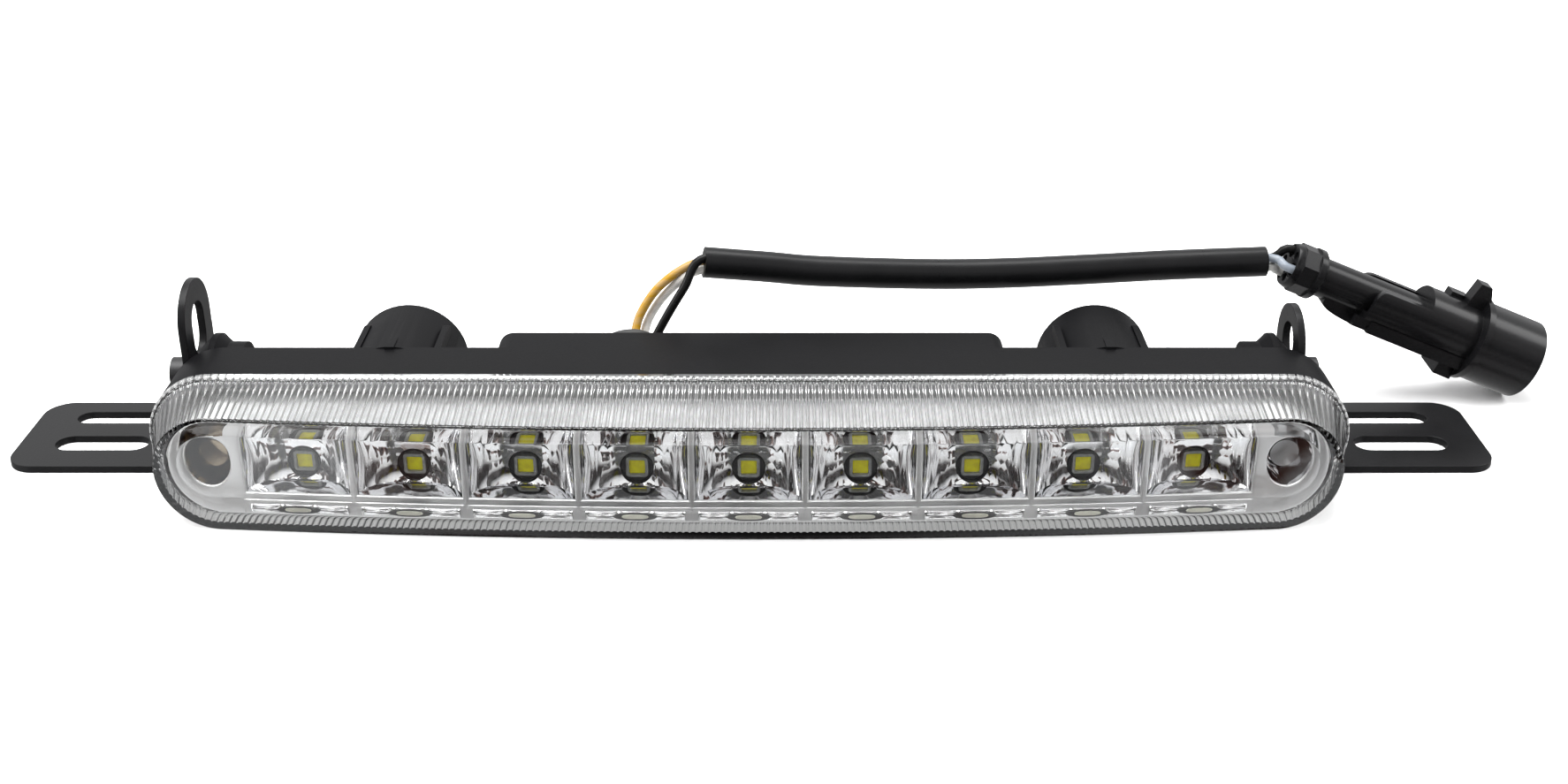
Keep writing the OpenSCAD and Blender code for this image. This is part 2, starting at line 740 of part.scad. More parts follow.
module ring_x(d, x1, x2) translate([x1, 0, 0]) rotate([0, 90, 0]) cylinder(d = d, h = x2 - x1);

// Lengths along the connector, back from its collar
block_len = 11.6;
saddle_len = 24;
rail_len = 22.4;
keel_len = 32.4;
saddle_z = 3.6;
saddle_d = 11;
latch_len = 5.2;
latch_h = 3.4;
latch_w = 3.2;
stop_len = 4;
stop_w = 3.2;
tab_len = 3.6;
tab_w = 8;

// Open cradle under the slim tube, with a rounded corner at the rear of each wall
module saddle(from, to) {
    round_r = 2.2;
    difference() {
        ring_x(body_d, from, to);
        translate([from - 1, -body_d, saddle_z]) cube([to - from + 2, 2 * body_d, body_d]);
        ring_x(saddle_d, from - 1, to + 1);
        translate([from, 0, saddle_z - round_r]) rotate([90, 0, 0])
            linear_extrude(2 * body_d, center = true) difference() {
                translate([-1, 0]) square([round_r + 1, round_r + 1]);
                translate([round_r, 0]) circle(r = round_r);
            }
    }
    difference() {
        ring_x(body_d - 0.4, from, to);
        translate([from - 1, -body_d, -2]) cube([to - from + 2, 2 * body_d, body_d]);
    }
}

// Tongue under the tube, whose lower edge bends down to the body
module keel(from, to) {
    drop = body_d / 2 - 0.6;
    top = 2;
    rotate([90, 0, 0]) linear_extrude(6, center = true) polygon(concat(
        [for (a = [0:10:90]) [from + (to - from) * (1 - cos(a)), -tube_d / 2 - (drop - tube_d / 2) * sin(a)]],
        [[to, -top], [from, -top]]));
}

// Pair of rails along the lower corners, each with a notch near its rear end
module rails(from, to) {
    side_y = body_d / 2 - 2.6;
    for (y = [-side_y - 2.2, side_y]) {
        translate([from, y, -5.7]) cube([to - from, 2.2, 2.6]);
        translate([from - 3.4, y + 0.3, -5.4]) cube([2.8, 1.6, 2.2]);
        translate([from - 3.4, y + 0.3, -4.2]) cube([4, 1.6, 1]);
    }
}

// Latch ramp on the collar, steep at the rear and sloping to the front
module latch(x) {
    base = shroud_d / 2 - 0.8;
    rotate([90, 0, 0]) linear_extrude(latch_w, center = true) polygon([
        [x - latch_len, 0], [x - latch_len, base], [x - 0.9 * latch_len, base + latch_h + 0.8],
        [x - 0.42 * latch_len, base + latch_h + 0.8], [x, base], [x, 0]]);
}

module connector_body() {
    collar_x = body_len;
    cavity_x = collar_x + 0.5;
    color([0.06, 0.06, 0.06]) placed() on_axis() difference() {
        union() {
            ring_x(tube_d, retainer_len, body_len);
            ring_x(body_d, collar_x - block_len, collar_x + 0.2);
            saddle(collar_x - saddle_len, collar_x - block_len + 0.2);
            keel(collar_x - keel_len, collar_x - saddle_len + 3);
            rails(collar_x - rail_len, collar_x + 0.2);
            latch(collar_x + collar_t);
            translate([collar_x - stop_len - 3, 0.6, 2]) cube([stop_len, stop_w, body_d / 2 - 1.2]);
            translate([collar_x - tab_len, -tab_w / 2, -shroud_d / 2 - 0.5]) cube([tab_len + 0.4, tab_w, 4]);
            ring_x(shroud_d + 1.4, collar_x, collar_x + collar_t);
            ring_x(shroud_d, collar_x + 0.2, connector_len);
        }
        ring_x(shroud_d - 2 * shroud_wall, cavity_x, connector_len + 1);
        ring_x(tube_d - 2, retainer_len - 1, retainer_len + 3);
    }
}

function pin_place(k) = [for (a = [90, 210, 330]) 3.2 * [cos(a), sin(a)]][k];

module connector_pin(k) {
    p = pin_place(k);
    color("silver") placed() on_axis() translate([0, p.x, p.y]) ring_x(1.6, body_len + 0.5, connector_len - 2);
}

module connector_seal() {
    color("darkorange") placed() on_axis() ring_x(tube_d - 2, retainer_len, retainer_len + 3);
}

// Retainer with flats, a round lip at the front and holes for the wires in its rear face
module connector_retainer() {
    lip = 1.9;
    color([0.07, 0.07, 0.07]) placed() on_axis() difference() {
        union() {
            rotate([0, 90, 0]) cylinder(d1 = retainer_d - 1.9, d2 = retainer_d - 1.2, h = 1);
            ring_x(retainer_d - 1.2, 1, retainer_len - 0.6);
            rotate([0, 90, 0]) rotate(22.5) translate([0, 0, 1.4])
                cylinder(d = retainer_d - 0.3, h = retainer_len - lip - 1, $fn = 8);
            ring_x(retainer_d, retainer_len - lip, retainer_len - 0.6);
            translate([retainer_len - 0.6, 0, 0]) rotate([0, 90, 0])
                cylinder(d1 = retainer_d, d2 = retainer_d - 1.2, h = 0.6);
        }
        for (k = [0:2]) {
            p = tail_place(k);
            translate([0, p.x, p.y]) ring_x(tail_d + 0.6, -1, 3);
            translate([0, -p.x, -p.y]) ring_x(tail_d - 0.4, -1, 2);
        }
    }
}

function tail_place(k) = [for (a = [60, 180, 300]) 2.9 * [cos(a), sin(a)]][k];

module tail_wire(k, off) {
    p = tail_place(k);
    end = rear + 3 * along + [p.y * sin(slope), p.x, p.y * cos(slope)];
    start = sleeve_route[len(sleeve_route) - 1] + off + end_gap * sleeve_last;
    tube(smooth([start, start + 1.7 * sleeve_last, end - 3.2 * along, end - 1.8 * along, end], 4),
        tail_d, sleeve_last, along, 8);
}

module tail_wire_grey() {
    color("silver") placed() tail_wire(0, 1.4 * upward_2 + 0.6 * across_2);
}

module tail_wire_white() {
    color("white") placed() tail_wire(2, -1.4 * upward_2 + 0.6 * across_2);
}

housing();
lens();
lens_seal();
reflector();
led_board();
for (i = [1:9]) led(i - 1);
driver_board();
driver_coil();
driver_capacitor();
driver_chip();
reflector_screw(-1);  // reflector_screw_left
reflector_screw(1);  // reflector_screw_right
cable_gland();
bracket(-1, left_seat_x, left_ear_h);  // bracket_left
bracket(1, right_seat_x, right_ear_h);  // bracket_right
bolt(-1, left_seat_x);  // bolt_left
bolt(1, right_seat_x);  // bolt_right
bolt_insert(-1, left_seat_x);  // bolt_insert_left
bolt_insert(1, right_seat_x);  // bolt_insert_right
wire_yellow();
wire_white();
wire_black();
cable_sleeve();
tail_wire_grey();
tail_wire_white();
connector_body();
connector_seal();
connector_retainer();
for (k = [0:2]) connector_pin(k);
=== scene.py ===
"""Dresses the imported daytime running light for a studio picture.

Sizes are in millimetres in the lamp's own front based frame, where X runs along the lamp, Y = 0 is the
front of the lens and Z = 0 is the table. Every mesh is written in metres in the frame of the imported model.
"""

import json
import logging
import math
from dataclasses import dataclass, field
from enum import Enum
from typing import Dict, Iterable, List, Optional, Sequence, Tuple, Union

import bmesh
import bpy
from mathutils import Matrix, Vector

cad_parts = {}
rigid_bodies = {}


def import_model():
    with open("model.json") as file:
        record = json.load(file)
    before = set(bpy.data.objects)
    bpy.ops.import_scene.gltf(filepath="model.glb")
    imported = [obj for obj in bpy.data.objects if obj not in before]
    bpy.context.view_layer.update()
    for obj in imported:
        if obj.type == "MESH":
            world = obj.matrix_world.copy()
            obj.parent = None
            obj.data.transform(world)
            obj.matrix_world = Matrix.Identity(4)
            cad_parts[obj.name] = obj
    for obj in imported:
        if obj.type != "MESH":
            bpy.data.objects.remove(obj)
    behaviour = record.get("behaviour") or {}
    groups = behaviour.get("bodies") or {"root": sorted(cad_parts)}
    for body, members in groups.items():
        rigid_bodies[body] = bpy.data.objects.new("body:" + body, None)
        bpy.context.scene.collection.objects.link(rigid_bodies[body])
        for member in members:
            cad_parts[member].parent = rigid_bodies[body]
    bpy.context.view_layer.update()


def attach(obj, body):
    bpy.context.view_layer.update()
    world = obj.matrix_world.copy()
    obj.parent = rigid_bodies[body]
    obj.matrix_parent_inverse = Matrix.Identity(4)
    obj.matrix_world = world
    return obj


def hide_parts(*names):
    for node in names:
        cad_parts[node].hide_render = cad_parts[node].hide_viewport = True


LOG = logging.getLogger("running_light")
MM = 0.001
# Distances in metres within which points of one piece, and of neighbouring tiles, are welded.
WELD = 2e-6
TILE_WELD = 3e-5
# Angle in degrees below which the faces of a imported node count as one.
FLAT_ANGLE = 0.6
Colour = Tuple[float, float, float]
Point = Tuple[float, float, float]
Flat = Tuple[float, float]


# Shader graphs


class Sock:
    """An output socket of a shader node, with arithmetic that adds its Math nodes."""

    def __init__(self, graph: "Graph", socket: bpy.types.NodeSocket) -> None:
        """Keeps the socket and the graph that it belongs to."""
        self.graph = graph
        self.socket = socket

    def math(self, operation: str, *others: "Value") -> "Sock":
        """Adds one Math node.

        Args:
            operation: The Math node's operation.
            others: The values that follow this one.

        Returns:
            The node's output.
        """
        inputs = {i: v for i, v in enumerate((self, *others))}
        return self.graph.node("ShaderNodeMath", {"operation": operation}, inputs)

    def __add__(self, other: "Value") -> "Sock":
        """This plus other."""
        return self.math("ADD", other)

    def __mul__(self, other: "Value") -> "Sock":
        """This times other."""
        return self.math("MULTIPLY", other)

    def __sub__(self, other: "Value") -> "Sock":
        """This minus other."""
        return self.math("SUBTRACT", other)

    def step(self, low: float, high: float) -> "Sock":
        """0 below low, 1 above high and smooth between them."""
        return self.graph.node(
            "ShaderNodeMapRange",
            {"interpolation_type": "SMOOTHSTEP"},
            {"Value": self, "From Min": low, "From Max": high},
        )


Value = Union[Sock, float, Sequence[float]]


class Graph:
    """A material's node graph, filled from Python."""

    def __init__(self, name: str) -> None:
        """Makes an empty material with an output node."""
        self.material = bpy.data.materials.new(name)
        self.material.use_nodes = True
        self.tree = self.material.node_tree
        self.tree.nodes.clear()
        self.out = self.tree.nodes.new("ShaderNodeOutputMaterial")

    def node(
        self,
        kind: str,
        settings: Optional[Dict[str, object]] = None,
        inputs: Optional[Dict[Union[str, int], "Value"]] = None,
        output: Union[str, int] = 0,
    ) -> Sock:
        """Adds any node.

        Args:
            kind: The node's type.
            settings: Its properties, set before the sockets.
            inputs: Values or links of its sockets, by name or number.
            output: The output to return.

        Returns:
            One output of the node.
        """
        node = self.tree.nodes.new(kind)
        for key, value in (settings or {}).items():
            setattr(node, key, value)
        for key, value in (inputs or {}).items():
            if isinstance(value, Sock):
                self.tree.links.new(value.socket, node.inputs[key])
            else:
                node.inputs[key].default_value = value
        return Sock(self, node.outputs[output])

    def place(self) -> Sock:
        """The object coordinates, in metres."""
        return self.node("ShaderNodeTexCoord", output="Object")

    def stretched(self, sizes_mm: Sequence[float]) -> Sock:
        """Object coordinates scaled so that one unit is that many millimetres on each axis."""
        scale = tuple(1000.0 / s for s in sizes_mm)
        return self.node("ShaderNodeMapping", {}, {"Vector": self.place(), "Scale": scale})

    def noise(self, sizes_mm: Sequence[float], detail: float = 3.0) -> Sock:
        """Noise whose patches have those sizes, from about 0.3 to 0.7."""
        return self.node(
            "ShaderNodeTexNoise",
            {},
            {"Vector": self.stretched(sizes_mm), "Scale": 1.0, "Detail": detail},
        )

    def blend(self, factor: Value, low: Value, high: Value) -> Sock:
        """Mixes two colours."""
        return self.node(
            "ShaderNodeMix",
            {"data_type": "RGBA"},
            {0: factor, 6: rgba(low), 7: rgba(high)},
            output=2,
        )

    def bump(self, height: Sock, depth_mm: float) -> Sock:
        """A bumped normal from a height in 0 to 1 and its depth."""
        return self.node(
            "ShaderNodeBump",
            {},
            {"Height": height, "Distance": depth_mm * MM, "Strength": 1.0},
        )

    def finish(self, inputs: Dict[str, Value]) -> bpy.types.Material:
        """Adds the shader with its inputs and returns the material."""
        shader = self.node("ShaderNodeBsdfPrincipled", {}, inputs)
        self.tree.links.new(shader.socket, self.out.inputs["Surface"])
        return self.material


def rgba(colour: Value) -> Value:
    """A colour with alpha 1, or the socket as it is."""
    return colour if isinstance(colour, Sock) else (*colour, 1.0)


def fill_ramp(node: bpy.types.Node, stops: Sequence[Tuple[float, Colour]]) -> None:
    """Fills a colour ramp.

    Args:
        node: The ramp's node.
        stops: Places from 0 to 1 and their colours.
    """
    ramp = node.color_ramp
    while len(ramp.elements) < len(stops):
        ramp.elements.new(1.0)
    for element, (place, colour) in zip(ramp.elements, stops):
        element.position = place
        element.color = (*colour, 1.0)


# Finishes


@dataclass(frozen=True)
class Finish:
    """A surface with patches of colour, patches of gloss and a fine grain.

    Attributes:
        name: The material's name.
        colour: Base colour, linear.
        roughness: Mean roughness.
        metallic: 0 or 1.
        mottle: How much the colour varies, as a share.
        patch_mm: Size of the patches along X, Y and Z.
        gloss_range: How much the roughness varies.
        grain_mm: Size of the grain along X, Y and Z.
        grain_depth_mm: Depth of the grain.
        grain_gloss: How much the roughness varies with the grain.
        coat: Weight of a clear coat.
        specular: Specular level.
    """

    name: str
    colour: Colour
    roughness: float
    metallic: float = 0.0
    mottle: float = 0.12
    patch_mm: Point = (9.0, 9.0, 9.0)
    gloss_range: float = 0.1
    grain_mm: Point = (0.35, 0.35, 0.35)
    grain_depth_mm: float = 0.012
    grain_gloss: float = 0.08
    coat: float = 0.0
    specular: float = 0.5

    def material(self) -> bpy.types.Material:
        """Builds the material."""
        graph = Graph(self.name)
        patch = graph.noise(self.patch_mm)
        grain = graph.noise(self.grain_mm, detail=4.0)
        low = tuple(c * (1.0 - self.mottle) for c in self.colour)
        high = tuple(min(1.0, c * (1.0 + self.mottle)) for c in self.colour)
        rough = (patch - 0.5) * (2.0 * self.gloss_range) + self.roughness
        return graph.finish(
            {
                "Base Color": graph.blend(patch.step(0.3, 0.7), low, high),
                "Roughness": rough + (grain - 0.5) * self.grain_gloss,
                "Metallic": self.metallic,
                "Coat Weight": self.coat,
                "Coat Roughness": 0.12,
                "Specular IOR Level": self.specular,
                "Normal": graph.bump(grain, self.grain_depth_mm),
            }
        )


@dataclass(frozen=True)
class ClearFinish:
    """Clear moulded plastic.

    Attributes:
        name: The material's name.
        tint: Colour of the plastic.
        ior: Index of refraction.
        ripple_mm: Size of the slow ripple that moulding leaves.
        ripple_depth_mm: Depth of that ripple.
    """

    name: str
    tint: Colour = (0.985, 0.99, 0.985)
    ior: float = 1.58
    ripple_mm: Point = (14.0, 5.0, 5.0)
    ripple_depth_mm: float = 0.004

    def material(self) -> bpy.types.Material:
        """Builds the material."""
        graph = Graph(self.name)
        ripple = graph.noise(self.ripple_mm, detail=1.0)
        return graph.finish(
            {
                "Base Color": rgba(self.tint),
                "Roughness": (ripple - 0.5) * 0.02 + 0.01,
                "IOR": self.ior,
                "Transmission Weight": 1.0,
                "Normal": graph.bump(ripple, self.ripple_depth_mm),
            }
        )


@dataclass(frozen=True)
class SplicedFinish:
    """Insulation that changes colour where two wires are joined inside the sleeve.

    Attributes:
        name: The material's name.
        near: Colour on the lamp's side.
        far: Colour on the connector's side.
        join_mm: Place of the join along X.
        worn: Colour of the dull streaks.
        worn_share: How strong they are.
        streak_mm: Their size along X, Y and Z.
    """

    name: str
    near: Colour
    far: Colour
    join_mm: float = 50.0
    worn: Colour = (0.3, 0.3, 0.3)
    worn_share: float = 0.25
    streak_mm: Point = (6.0, 1.2, 1.2)

    def material(self) -> bpy.types.Material:
        """Builds the material."""
        graph = Graph(self.name)
        x = graph.node("ShaderNodeSeparateXYZ", {}, {"Vector": graph.stretched((1.0, 1.0, 1.0))})
        colour = graph.blend((x - self.join_mm).step(0.0, 1.0), self.near, self.far)
        streak = graph.noise(self.streak_mm)
        worn = graph.blend(streak.step(0.35, 0.65) * self.worn_share, colour, self.worn)
        return graph.finish(
            {
                "Base Color": worn,
                "Roughness": (streak - 0.5) * 0.2 + 0.34,
                "Specular IOR Level": 0.25,
                "Coat Weight": 0.1,
                "Coat Roughness": 0.15,
                "Normal": graph.bump(streak, 0.01),
            }
        )


class Palette(Enum):
    """The finishes of the lamp."""

    HOUSING = Finish("black_moulding", (0.0045, 0.0045, 0.005), 0.42, grain_depth_mm=0.01, specular=0.04)
    SHEET = Finish(
        "black_sheet_coat",
        (0.006, 0.006, 0.0065),
        0.34,
        patch_mm=(14, 14, 14),
        grain_mm=(0.5, 0.5, 0.5),
        specular=0.14,
    )
    CHROME = Finish(
        "reflector_chrome",
        (0.86, 0.86, 0.87),
        0.05,
        metallic=1.0,
        mottle=0.02,
        gloss_range=0.02,
        grain_mm=(1.5, 1.5, 1.5),
        grain_depth_mm=0.0008,
    )
    SATIN = Finish(
        "satin_metallised",
        (0.74, 0.74, 0.75),
        0.5,
        metallic=1.0,
        patch_mm=(8.0, 3.0, 8.0),
        grain_depth_mm=0.002,
    )
    LAND = Finish(
        "reflector_land",
        (0.94, 0.94, 0.95),
        0.42,
        metallic=1.0,
        patch_mm=(20.0, 20.0, 20.0),
        grain_depth_mm=0.002,
    )
    SMOKED = Finish("smoked_metallised", (0.3, 0.25, 0.18), 0.05, metallic=1.0)
    CERAMIC = Finish("pale_ceramic", (0.88, 0.87, 0.74), 0.4)
    BOARD = Finish("board_mask", (0.11, 0.11, 0.112), 0.5)
    PACKAGE = Finish("led_package", (0.34, 0.35, 0.34), 0.4, patch_mm=(1, 1, 1))
    PHOSPHOR = Finish(
        "led_phosphor", (0.95, 0.84, 0.02), 0.4, patch_mm=(1.2, 1.2, 1.2), grain_mm=(0.2, 0.2, 0.2)
    )
    # Painted shade: this black stands in for the shadow at the edge of each LED's hole; the facet plates use
    # the same black.
    RING = Finish("led_shadow_ring", (0.006, 0.006, 0.006), 0.6)
    SEAL = Finish("sealant", (0.06, 0.06, 0.065), 0.7)
    RUBBER = Finish("black_rubber", (0.012, 0.012, 0.012), 0.55)
    SLEEVE = Finish(
        "black_sleeving",
        (0.005, 0.005, 0.0055),
        0.32,
        grain_mm=(0.5, 0.25, 0.25),
        grain_depth_mm=0.012,
        specular=0.16,
    )
    CONNECTOR = Finish(
        "connector_moulding",
        (0.005, 0.005, 0.0055),
        0.24,
        gloss_range=0.05,
        grain_depth_mm=0.005,
        specular=0.2,
    )
    SCREW = Finish("black_oxide", (0.014, 0.014, 0.015), 0.42, metallic=0.3)
    ZINC = Finish("zinc_plate", (0.55, 0.56, 0.57), 0.35, metallic=1.0)
    BRASS = Finish("turned_brass", (0.62, 0.42, 0.14), 0.3, metallic=1.0)
    TIN = Finish("tin_plate", (0.7, 0.7, 0.7), 0.3, metallic=1.0)
    YELLOW = SplicedFinish("yellow_and_grey_insulation", (0.38, 0.2, 0.001), (0.17, 0.195, 0.23))
    WHITE = SplicedFinish("white_insulation", (0.68, 0.66, 0.62), (0.5, 0.5, 0.48))
    BLACK = Finish("black_insulation", (0.005, 0.005, 0.005), 0.3, specular=0.15)
    ORANGE = Finish("silicone_seal", (0.5, 0.12, 0.02), 0.5)
    GREEN = Finish("driver_mask", (0.02, 0.1, 0.03), 0.35)
    FERRITE = Finish("ferrite", (0.03, 0.03, 0.032), 0.6)
    CAN = Finish("capacitor_can", (0.5, 0.5, 0.52), 0.3, metallic=1.0)
    EPOXY = Finish("chip_epoxy", (0.015, 0.015, 0.015), 0.5)
    CLEAR = ClearFinish("clear_polycarbonate")


class Dresser:
    """Makes each material once and puts it on objects."""

    def __init__(self) -> None:
        """Starts with no materials."""
        self.made: Dict[Palette, bpy.types.Material] = {}

    def material(self, choice: Palette) -> bpy.types.Material:
        """The material of a finish."""
        if choice not in self.made:
            self.made[choice] = choice.value.material()
        return self.made[choice]

    def dress(self, obj: bpy.types.Object, choice: Palette) -> None:
        """Gives the whole object one finish."""
        material = self.material(choice)
        if not obj.material_slots:
            obj.data.materials.append(material)
        for place in obj.material_slots:
            place.material = material


# Shared geometry


@dataclass
class Frame:
    """The lamp's own frame, and the bow that its front follows."""

    bow_r: float = 1250.0
    total_y: float = 56.2

    def bow(self, x: float) -> float:
        """How far the bow falls back at x."""
        return self.bow_r - math.sqrt(self.bow_r**2 - x * x)

    def metres(self, p: Sequence[float]) -> Vector:
        """A point of the lamp's frame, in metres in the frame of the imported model."""
        return Vector((p[0], p[1] - self.total_y / 2.0, p[2])) * MM

    def along_bow(self, x: float, p: Sequence[float]) -> Point:
        """A point of a local frame that stands on the bow at x."""
        a = math.asin(x / self.bow_r)
        dx, dy = p[0], p[1] - self.bow_r
        return (
            dx * math.cos(a) - dy * math.sin(a),
            dx * math.sin(a) + dy * math.cos(a) + self.bow_r,
            p[2],
        )


FRAME = Frame()


def smooth_faces(mesh: bpy.types.Mesh, on: bool = True) -> None:
    """Sets or clears smooth shading on every face."""
    mesh.polygons.foreach_set("use_smooth", [on] * len(mesh.polygons))


def make_object(name: str, bm: bmesh.types.BMesh, smooth: bool = True) -> bpy.types.Object:
    """Turns a bmesh into a linked object.

    Args:
        name: The object's name.
        bm: The mesh, which is freed.
        smooth: Whether the faces shade smoothly.

    Returns:
        The object, at the origin.
    """
    mesh = bpy.data.meshes.new(name)
    bm.to_mesh(mesh)
    bm.free()
    smooth_faces(mesh, smooth)
    obj = bpy.data.objects.new(name, mesh)
    bpy.context.scene.collection.objects.link(obj)
    return obj


def bake_modifiers(obj: bpy.types.Object) -> None:
    """Turns the evaluated object into its plain mesh."""
    depsgraph = bpy.context.evaluated_depsgraph_get()
    mesh = bpy.data.meshes.new_from_object(obj.evaluated_get(depsgraph))
    obj.modifiers.clear()
    obj.data = mesh


def polar_loft(
    bm: bmesh.types.BMesh, rings: Sequence[Sequence[Point]], close: bool
) -> List[List[bmesh.types.BMVert]]:
    """Joins closed rings of equally many points.

    Args:
        bm: The mesh that takes the faces.
        rings: The rings, from the outside inwards.
        close: Whether the last ring gets a face.

    Returns:
        The vertices of each ring.
    """
    loops = [[bm.verts.new(p) for p in ring] for ring in rings]
    for a, b in zip(loops, loops[1:]):
        n = len(a)
        for i in range(n):
            bm.faces.new((a[i], a[(i + 1) % n], b[(i + 1) % n], b[i]))
    if close:
        bm.faces.new(loops[-1])
    return loops


def ray_box(x: float, z: float, dx: float, dz: float, low: Sequence[float], high: Sequence[float]) -> float:
    """Distance from a point inside a box to its side, along a direction."""
    found = []
    for at, step, a, b in ((x, dx, low[0], high[0]), (z, dz, low[1], high[1])):
        if abs(step) > 1e-9:
            found.append(((b if step > 0 else a) - at) / step)
    return min(found)


def superellipse(angle: float, rx: float, rz: float, power: float) -> Flat:
    """A point of an ellipse at power 2, or of a rounded rectangle at more."""
    c, s = math.cos(angle), math.sin(angle)
    r = (abs(c / rx) ** power + abs(s / rz) ** power) ** (-1 / power)
    return r * c, r * s


class GeometryTree:
    """A Geometry Nodes tree with named inputs, whose result becomes an object's plain mesh."""

    def __init__(self, name: str, inputs: Dict[str, str]) -> None:
        """Makes the tree.

        Args:
            name: Its name.
            inputs: Names and socket types of its inputs beside the geometry.
        """
        self.tree = bpy.data.node_groups.new(name, "GeometryNodeTree")
        face = self.tree.interface
        face.new_socket("Geometry", in_out="INPUT", socket_type="NodeSocketGeometry")
        self.ids = {}
        for label, kind in inputs.items():
            self.ids[label] = face.new_socket(label, in_out="INPUT", socket_type=kind).identifier
        face.new_socket("Geometry", in_out="OUTPUT", socket_type="NodeSocketGeometry")

    def run(self, obj: bpy.types.Object, values: Dict[str, object]) -> None:
        """Runs the tree on an object and keeps the result as its mesh.

        Args:
            obj: The object.
            values: Values of the named inputs.
        """
        modifier = obj.modifiers.new("tree", "NODES")
        modifier.node_group = self.tree
        for name, value in values.items():
            modifier[self.ids[name]] = value
        bake_modifiers(obj)


class EdgeSoftener:
    """Copies a node's solid and rounds its edges."""

    def __init__(self, width_mm: float, segments: int = 2, angle: float = 32.0) -> None:
        """Keeps the rounding's width, its steps and the least angle it rounds."""
        self.width = width_mm * MM
        self.segments = segments
        self.angle = math.radians(angle)

    def copy(self, node: str, name: str) -> bpy.types.Object:
        """Makes the rounded copy, which stands for the node.

        Args:
            node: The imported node.
            name: The new piece's name.

        Returns:
            The piece.
        """
        bm = bmesh.new()
        bm.from_mesh(bpy.data.objects[node].data)
        bmesh.ops.remove_doubles(bm, verts=bm.verts, dist=WELD)
        bmesh.ops.dissolve_limit(
            bm,
            angle_limit=math.radians(FLAT_ANGLE),
            verts=bm.verts,
            edges=bm.edges,
            use_dissolve_boundaries=False,
        )
        obj = make_object(name, bm)
        bevel = obj.modifiers.new("round", "BEVEL")
        bevel.width = self.width
        bevel.segments = self.segments
        bevel.limit_method = "ANGLE"
        bevel.angle_limit = self.angle
        bevel.harden_normals = False
        bevel.use_clamp_overlap = True
        weighted = obj.modifiers.new("shade", "WEIGHTED_NORMAL")
        weighted.keep_sharp = True
        weighted.weight = 80
        bake_modifiers(obj)
        return obj


# Lens


@dataclass
class LensRing:
    """One closed outline of the lens, a stadium that may follow the bow.

    Attributes:
        half: Half of its length.
        radius: Radius of its ends, which is half of its height.
        z: Height of its middle.
        y: Its distance behind the front.
        bowed: How much of the bow it follows, from 0 to 1.
        flute: Depth of the flutes that push it inwards.
    """

    half: float
    radius: float
    z: float
    y: float
    bowed: float = 1.0
    flute: float = 0.0


